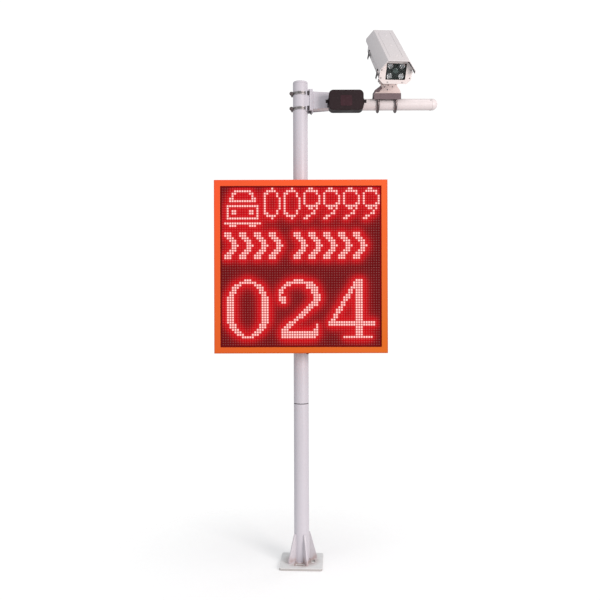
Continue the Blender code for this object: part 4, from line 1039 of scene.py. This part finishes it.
def build_door_trim():
    """Pressed louvres, seals, lock plates and stiffening ribs of the two service doors."""
    for name in ("left", "right"):
        low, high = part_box(f"door_{name}")
        z_middle = (low.z + high.z) / 2
        lock_low, lock_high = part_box(f"lock_{name}")
        lock_x = ((lock_low + lock_high) / 2).x
        skin = lock_high.y - 0.0035
        side = 1 if name == "left" else -1
        centre = side * 0.185
        bank, pitch = 0.15, 0.018
        heights = [z_middle + end * bank + (i - 2) * pitch for end in (-1, 1) for i in range(5)]
        hoods = [prism("X", [(skin - 0.0002, z + 0.0055), (skin + 0.0016, z + 0.004),
            (skin + 0.0042, z - 0.003), (skin + 0.0042, z - 0.0042), (skin + 0.0034, z - 0.0042),
            (skin + 0.001, z + 0.002), (skin - 0.0002, z + 0.003)], centre - 0.055, centre + 0.055)
            for z in heights]
        piece(f"louvres_{name}", hoods, "display_paint", body=f"door_{name}", bevel=0.0003)
        slits = [prism("Y", rounded(0.106, 0.006, 0.0015, centre, z - 0.0015), skin - 0.00005,
            skin + 0.0003) for z in heights]
        piece(f"louvre_mesh_{name}", slits, "black_plastic", RUBBER, body=f"door_{name}")
        plate = prism("Y", rounded(0.036, 0.046, 0.004, lock_x, z_middle), skin + 0.0001, skin + 0.0012,
            [circle(0.0135, lock_x, z_middle, 28)])
        rivets = [button(0.0024, 0.0012, (lock_x, skin + 0.0012, z_middle + end * 0.0185), REARWARDS)
            for end in (-1, 1)]
        piece(f"lock_plate_{name}", [plate, *rivets], "zinc_steel", body=f"door_{name}", bevel=0.0003)
        seal = prism("Y", rounded(0.268, 0.49, 0.004, side * 0.1815, z_middle), CASE_BACK + 0.0002,
            CASE_BACK + 0.004, [rounded(0.256, 0.468, 0.004, side * 0.1815, z_middle)])
        piece(f"door_seal_{name}", seal, "black_plastic", RUBBER, bevel=0.0006)
        ribs = [prism("X", [(skin - 0.0016, z_middle + dz - 0.008), (skin - 0.0016, z_middle + dz + 0.008),
            (skin - 0.005, z_middle + dz + 0.004), (skin - 0.005, z_middle + dz - 0.004)], centre - 0.115,
            centre + 0.115) for dz in (-0.215, 0.055, 0.215)]
        piece(f"door_ribs_{name}", ribs, "display_paint", body=f"door_{name}", bevel=0.0005)


def tile(width, height, depth, x, z, y, radius=0.0008):
    """A block lying on a face that looks rearwards."""
    return prism("Y", rounded(width, height, radius, x, z, 2), y - 0.0002, y + depth)


def screw_row(count, pitch, x, z, y, radius=0.0026, upright=False):
    """A row of small screws on a face that looks rearwards."""
    offsets = [(i - (count - 1) / 2) * pitch for i in range(count)]
    return [button(radius, 0.0012, (x if upright else x + d, y, z + d if upright else z), REARWARDS)
        for d in offsets]


def build_units():
    """Covers, chips, terminals and fixings of the units inside the cabinet."""
    fixings = []

    def face(name, aside, apart, radius):
        """A unit's middle and the height of its face; its flanges get two screws on each side."""
        low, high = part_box(name)
        x, z = (low.x + high.x) / 2, (low.z + high.z) / 2
        for side in (-1, 1) if aside else ():
            fixings.extend(screw_row(2, apart, x + side * aside, z, low.y + 0.0025, radius, True))
        return x, z, high.y

    x, z, y = face("power_supply", 0.1025, 0.09, 0.0032)
    ribs = [tile(0.1, 0.003, 0.0012, x - 0.03, z + (i - 6) * 0.0065, y, 0.0014) for i in range(13)]
    piece("supply_vents", ribs, "unit_case")
    piece("supply_terminals", [tile(0.018, 0.088, 0.005, x + 0.078, z, y)]
        + [tile(0.018, 0.0012, 0.0075, x + 0.078, z + (i - 4) * 0.011, y, 0.0004) for i in range(9)],
        "black_plastic")
    fixings += screw_row(8, 0.011, x + 0.078, z, y + 0.005, 0.003, True)

    x, z, y = face("display_controller", 0.08, 0.08, 0.0028)
    chips = [tile(0.022, 0.022, 0.0016, x - 0.025, z + 0.01, y),
        tile(0.016, 0.016, 0.0016, x + 0.015, z + 0.014, y)]
    chips += [tile(0.01, 0.006, 0.0014, x - 0.055 + 0.018 * i, z - 0.022, y) for i in range(6)]
    piece("controller_chips", chips, "black_plastic", bevel=0.0002)
    sockets = [tile(0.03, 0.009, 0.008, x - 0.048 + 0.034 * i, z + 0.037, y) for i in range(4)]
    pins = [tile(0.0016, 0.0016, 0.0105, x - 0.06 + 0.034 * i + 0.0034 * k, z + 0.037, y, 0.0004)
        for i in range(4) for k in range(8)]
    piece("controller_sockets", sockets, "grey_plastic", bevel=0.0003)
    piece("controller_pins", pins, "zinc_steel", BRASS)
    cans = [placed(turned([(0, 0.0125), (0.004, 0.0125), (0.0046, 0.0118), (0.0046, 0.0012), (0.0052, 0),
        (0, 0)], sides=20), (x + 0.042 + 0.0125 * i, y, z + 0.012), REARWARDS) for i in range(2)]
    fins = [tile(0.0012, 0.02, 0.0075, x - 0.0345 + 0.0032 * i, z + 0.01, y + 0.0014, 0.0004)
        for i in range(7)]
    piece("controller_cans", cans + fins, "aluminium")

    x, z, y = face("battery_pack", 0.105, 0.12, 0.0034)
    straps = [tile(0.014, 0.15, 0.0014, x + side * 0.055, z, y, 0.002) for side in (-1, 1)]
    caps = [tile(0.008, 0.152, 0.001, x + side * 0.094, z, y, 0.002) for side in (-1, 1)]
    piece("battery_straps", straps + caps, "black_plastic", bevel=0.0004)
    posts = [placed(turned([(0, 0.0052), (0.0036, 0.0052), (0.0042, 0.0044), (0.0042, 0.0014),
        (0.0062, 0.001), (0.0062, 0), (0, 0)], sides=20), (x + side * 0.022, y, z + 0.06), REARWARDS)
        for side in (-1, 1)]
    piece("battery_posts", posts, "zinc_steel", BRASS)

    x, z, y = face("charge_controller", 0.07, 0.07, 0.003)
    pane = tile(0.04, 0.02, 0.0012, x - 0.03, z + 0.014, y, 0.002)
    piece("charge_window", pane, "clear_glass", bevel=0.0004)
    frame_ring = prism("Y", rounded(0.046, 0.026, 0.003, x - 0.03, z + 0.014), y - 0.0002, y + 0.0018,
        [rounded(0.0406, 0.0206, 0.0022, x - 0.03, z + 0.014)])
    keys = [tile(0.012, 0.008, 0.0022, x + 0.014 + 0.017 * i, z + 0.014, y, 0.0024) for i in range(3)]
    clamps = [tile(0.013, 0.014, 0.006, x - 0.0425 + 0.017 * i, z - 0.03, y, 0.001) for i in range(6)]
    piece("charge_keys", [frame_ring, *keys, *clamps], "grey_plastic", bevel=0.0004)
    fixings += screw_row(6, 0.017, x, z - 0.03, y + 0.006, 0.003)

    x, z, y = face("terminal_block", 0.0, 0.0, 0.0)
    walls = [tile(0.0012, 0.024, 0.0022, x + (i - 5) * 0.009, z, y, 0.0004) for i in range(11)]
    piece("terminal_walls", walls, "grey_plastic")
    fixings += screw_row(10, 0.009, x, z + 0.006, y) + screw_row(10, 0.009, x, z - 0.006, y)
    piece("unit_screws", fixings, "zinc_steel")


# ---- radar head ---------------------------------------------------------------------------
def build_radar():
    """Raised square window of the radar's cover, its seam seal, screws and gland cap."""
    low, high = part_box("radar_front_cover")
    middle = (low + high) / 2
    shell_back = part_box("radar_rear_shell")[1].y
    eye = prism("Y", rounded(0.048, 0.044, 0.006, middle.x, middle.z - 0.003), low.y - 0.0008,
        low.y + 0.0004)
    piece("radar_window", eye, "radome", RADAR_EYE, body="radar_head", bevel=0.0005)
    seam = high.y
    seal = prism("Y", rounded(0.1405, 0.0815, 0.0175, middle.x, middle.z), seam - 0.0006, seam + 0.0009,
        [rounded(0.13, 0.071, 0.013, middle.x, middle.z)])
    piece("radar_seal", seal, "black_plastic", RUBBER, body="radar_head")
    screw_y = shell_back - 0.006
    screws = [button(0.0034, 0.002, (middle.x + sx * 0.058, screw_y, middle.z + sz * 0.029), REARWARDS)
        for sx in (-1, 1) for sz in (-1, 1)]
    piece("radar_screws", screws, "zinc_steel", body="radar_head")
    gland = (middle.x + 0.045, shell_back - 0.0002, middle.z - 0.025)
    nut = turned([(0.0018, 0.0018), (0.0048, 0.0018), (0.0062, 0.0008), (0.0066, -0.004), (0.0018, -0.004)],
        "Y", gland, 12)
    blank = turned([(0, 0.0026), (0.002, 0.0026), (0.0024, 0.001), (0, 0.001)], "Y", gland, 16)
    piece("radar_gland_cap", [nut, blank], "black_plastic", body="radar_head")


# ---- camera -------------------------------------------------------------------------------
def housing_place():
    """The camera housing's own frame: origin on the tilt axis, X across, Y rearwards, Z up."""
    across, back = Vector(JOINTS["camera_tilt"]["axis"]), Vector(JOINTS["lid_open"]["axis"])
    up = across.cross(back)
    turn = Matrix((across, back, up)).transposed().to_4x4()
    return Matrix.Translation(JOINTS["camera_tilt"]["pos_m"]) @ turn


HOUSING = housing_place()


def own_box(node):
    """A node's lowest and highest corners in the camera housing's own frame."""
    inverse = HOUSING.inverted()
    corners = [inverse @ vertex.co for vertex in NODES[node].data.vertices]
    return (Vector([min(c[i] for c in corners) for i in range(3)]),
        Vector([max(c[i] for c in corners) for i in range(3)]))


def housed(name, solid, slot, finish=None, body="camera_housing", stands_for=(), bevel=0.0):
    """A piece made in the camera housing's own frame."""
    return piece(name, solid, slot, finish, body, stands_for, bevel, HOUSING)


def build_lamps_and_lens():
    """Infrared lamps in bright reflectors around the lens, on a black board behind the window."""
    glass_low, glass_high = own_box("window_glass")
    centre_z = (glass_low.z + glass_high.z) / 2
    front = own_box("ir_lamp_board")[0].y
    board = prism("Y", rounded(0.079, 0.0662, 0.003, 0, centre_z), front + 0.0075, front + 0.0105,
        [circle(0.0158, 0, centre_z, 40)])
    housed("lamp_board", board, "black_plastic", RUBBER, stands_for=["ir_lamp_board"], bevel=0.0003)
    bowls, domes = [], []
    aside, above = 0.024, 0.0205
    bowl = [(0.0044, 0.0068), (0.006, 0.005), (0.008, 0.003), (0.0098, 0.0007), (0.0106, 0.0002),
        (0.0112, 0.0006), (0.0112, 0.0076), (0.0044, 0.0076)]
    back = [(0.0, 0.007), (0.0046, 0.007), (0.0046, 0.0078), (0, 0.0078)]
    dome = [(0, 0.0012), (0.0016, 0.0015), (0.0028, 0.0026), (0.0033, 0.0042), (0.0034, 0.0072),
        (0, 0.0072)]
    for at in [(sx * aside, front, centre_z + sz * above) for sx in (-1, 1) for sz in (-1, 1)]:
        bowls += [turned(bowl, "Y", at, 40), turned(back, "Y", at, 24)]
        domes.append(turned(dome, "Y", at, 24))
    housed("lamp_reflectors", bowls, "zinc_steel", CHROME)
    housed("lamp_domes", domes, "clear_glass", CLEAR)
    near = own_box("camera_lens")[0].y
    barrel = [(0.0118, 0.0012), (0.0122, 0.0), (0.014, 0.0), (0.0147, 0.0007), (0.0147, 0.005),
        (0.014, 0.0056), (0.014, 0.007), (0.0147, 0.0076), (0.0147, 0.029), (0.0115, 0.0295),
        (0.0115, 0.0395), (0.0, 0.0395), (0.0, 0.03), (0.0112, 0.029), (0.0112, 0.0022)]
    glass = [(0, 0.0004), (0.0045, 0.0007), (0.0085, 0.0016), (0.0116, 0.003), (0.011, 0.006), (0, 0.006)]
    housed("lens_glass", turned(glass, "Y", (0, near, centre_z), 40), "lens_glass")
    housed("lens_barrel", turned(barrel, "Y", (0, near, centre_z), 40), "black_plastic", RUBBER,
        stands_for=["camera_lens"])
    face = own_box("front_panel")[0].y
    width, height = glass_high.x - glass_low.x - 0.004, glass_high.z - glass_low.z - 0.004
    gasket = prism("Y", rounded(width - 0.0002, height - 0.0002, 0.002, 0, centre_z), face + 0.0008,
        glass_low.y - 0.0001, [rounded(width - 0.0034, height - 0.0034, 0.0012, 0, centre_z)])
    housed("window_gasket", gasket, "black_plastic", RUBBER, bevel=0.0003)


def build_housing_trim():
    """Front panel screws, the shield's rolled hem and ribs, a dark sheet inside the shield as painted shade,
    the tray's rivets and gland cap.
    """
    low, high = own_box("front_panel")
    screws = [button(0.003, 0.0018, (sx * (high.x - 0.0065), low.y, z), FORWARDS)
        for sx in (-1, 1) for z in (low.z + 0.024, high.z - 0.04)]
    screws += [button(0.003, 0.0018, (sx * 0.03, low.y, low.z + 0.007), FORWARDS) for sx in (-1, 1)]
    housed("panel_screws", screws, "zinc_steel")

    low, high = own_box("sun_shield")
    top = high.z - 0.0024
    flat, skirt_x = 0.0415, high.x
    hem = []
    for side in (-1, 1):
        edge = ((0, top - 0.0008), (flat - 0.004, top - 0.0008), (flat, top - 0.0014),
            (flat + 0.004, top - 0.0052), (skirt_x - 0.0018, top - 0.0375),
            (skirt_x - 0.0009, low.z + 0.008), (skirt_x - 0.0009, low.z + 0.0005))
        hem.append(swept([(side * x, low.y, z) for x, z in edge], 0.0017, 10))
    housed("shield_hem", hem, "housing_paint", body="housing_lid")
    ribs = [prism("Z", rounded(0.005, 0.32, 0.0024, sx * 0.026, (low.y + high.y) / 2 + 0.004), top - 0.0002,
        top + 0.0009) for sx in (-1, 1)]
    housed("shield_ribs", ribs, "housing_paint", body="housing_lid", bevel=0.0005)

    # A dark sheet inside the shield's top and right slope, as painted shade on the shield's inner face.
    shade_liner = [(-flat + 0.004, -0.002), (flat - 0.0002, -0.002), (skirt_x - 0.0022, -0.04),
        (skirt_x - 0.0022, -0.048), (skirt_x - 0.0036, -0.048), (skirt_x - 0.0036, -0.0404),
        (flat - 0.0008, -0.0034), (-flat + 0.004, -0.0034)]
    shade_lining = prism("Y", [(u, top + 0.0001 + w) for u, w in shade_liner], low.y + 0.0015, low.y + 0.029)
    housed("shield_lining_painted_shade", shade_lining, "black_plastic", SHADE_LINING, body="housing_lid", bevel=0.0002)

    gland = (0.03, own_box("housing_tray")[1].y, 0.065)
    rivets = [button(0.0026, 0.0013, (sx * 0.065, y, 0.066), (sx, 0, 0)) for sx in (-1, 1)
        for y in (-0.12, -0.04, 0.04, 0.16)]
    housed("tray_rivets", rivets, "zinc_steel")
    cap = turned([(0.002, 0.0), (0.0066, 0.0), (0.0066, 0.005), (0.005, 0.01), (0.0034, 0.0112),
        (0.002, 0.0112)], "Y", gland, 12)
    blank = turned([(0, 0.0), (0.0022, 0.0), (0.0022, 0.0118), (0, 0.0124)], "Y", gland, 12)
    housed("tray_gland_cap", [cap, blank], "black_plastic")


def build_latches():
    """Toggle latches on the lid's left side, each with its wire bail."""
    for name in ("front", "rear"):
        low, high = own_box(f"latch_{name}")
        joint = HOUSING.inverted() @ Vector(JOINTS[f"latch_{name}_swing"]["pos_m"])
        y0, y1 = low.y + 0.0006, high.y - 0.0006
        lever = prism("Y", [(joint.x + 0.002, joint.z + 0.0022), (joint.x - 0.0018, joint.z + 0.0026),
            (joint.x - 0.0034, joint.z + 0.0002), (joint.x - 0.004, joint.z - 0.016),
            (joint.x - 0.006, joint.z - 0.0328), (joint.x - 0.0044, joint.z - 0.0334),
            (joint.x - 0.002, joint.z - 0.02), (joint.x - 0.001, joint.z - 0.005),
            (joint.x + 0.002, joint.z - 0.0024)], y0, y1)
        housed(f"latch_lever_{name}", lever, "black_plastic", body=f"latch_{name}",
            stands_for=[f"latch_{name}"], bevel=0.0006)
        drop, reach = joint.z - 0.0165, joint.x - 0.0012
        bail = [(reach - 0.0008, y0 + 0.002, joint.z - 0.004), (reach + 0.0012, y0 + 0.002, drop),
            (reach + 0.0016, y0 + 0.0035, drop - 0.0014), (reach + 0.0016, y1 - 0.0035, drop - 0.0014),
            (reach + 0.0012, y1 - 0.002, drop), (reach - 0.0008, y1 - 0.002, joint.z - 0.004)]
        housed(f"latch_bail_{name}", swept(bail, 0.0009, 8), "zinc_steel", body=f"latch_{name}")


def build_neck():
    """A dark sheet over the left side of the camera's neck, standing for the shade there as painted shade,
    and the neck's screws.
    """
    axis = Vector(JOINTS["camera_tilt"]["axis"])
    yaw = math.atan2(axis.y, axis.x)
    pan = Vector(JOINTS["camera_pan"]["pos_m"])
    place = Matrix.Translation((pan.x, pan.y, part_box("camera_neck")[0].z)) @ Matrix.Rotation(yaw, 4, "Z")
    front = -0.0262
    # Dark sheet over the neck's left face and front edge, as painted shade.
    shade_cheek = prism("Y", [(-0.0612, 0.0), (-0.0612, 0.0162), (-0.036, 0.0352), (-0.029, 0.025),
        (-0.045, 0.006), (-0.045, 0.0)], front - 0.0014, front)
    wrap = prism("X", [(front - 0.0014, 0.0), (0.026, 0.0), (0.026, 0.015), (front - 0.0014, 0.0162)],
        -0.0612, -0.0602)
    slope = prism("Y", [(-0.0612, 0.0158), (-0.0604, 0.0168), (-0.0364, 0.035), (-0.0352, 0.0344)],
        front - 0.0014, 0.026)
    piece("neck_cheek_painted_shade", [shade_cheek, wrap, slope], "dark_steel", body="camera_neck", place=place)
    heads = ((-0.02, 0.03, 0.0034), (-0.004, 0.0385, 0.003), (0.015, 0.032, 0.0034),
        (-0.007, 0.02, 0.0036), (0.027, 0.042, 0.0026), (-0.028, 0.0425, 0.0026))
    screws = [button(size, 0.0022, (x, front + 0.0002, z), FORWARDS) for x, z, size in heads]
    piece("neck_screws", screws, "zinc_steel", body="camera_neck", place=place)


build_stage()
dress_nodes()
build_display()
build_mast()
build_bands()
build_arm()
build_case_trim()
build_door_trim()
build_units()
build_radar()
build_lamps_and_lens()
build_housing_trim()
build_latches()
build_neck()
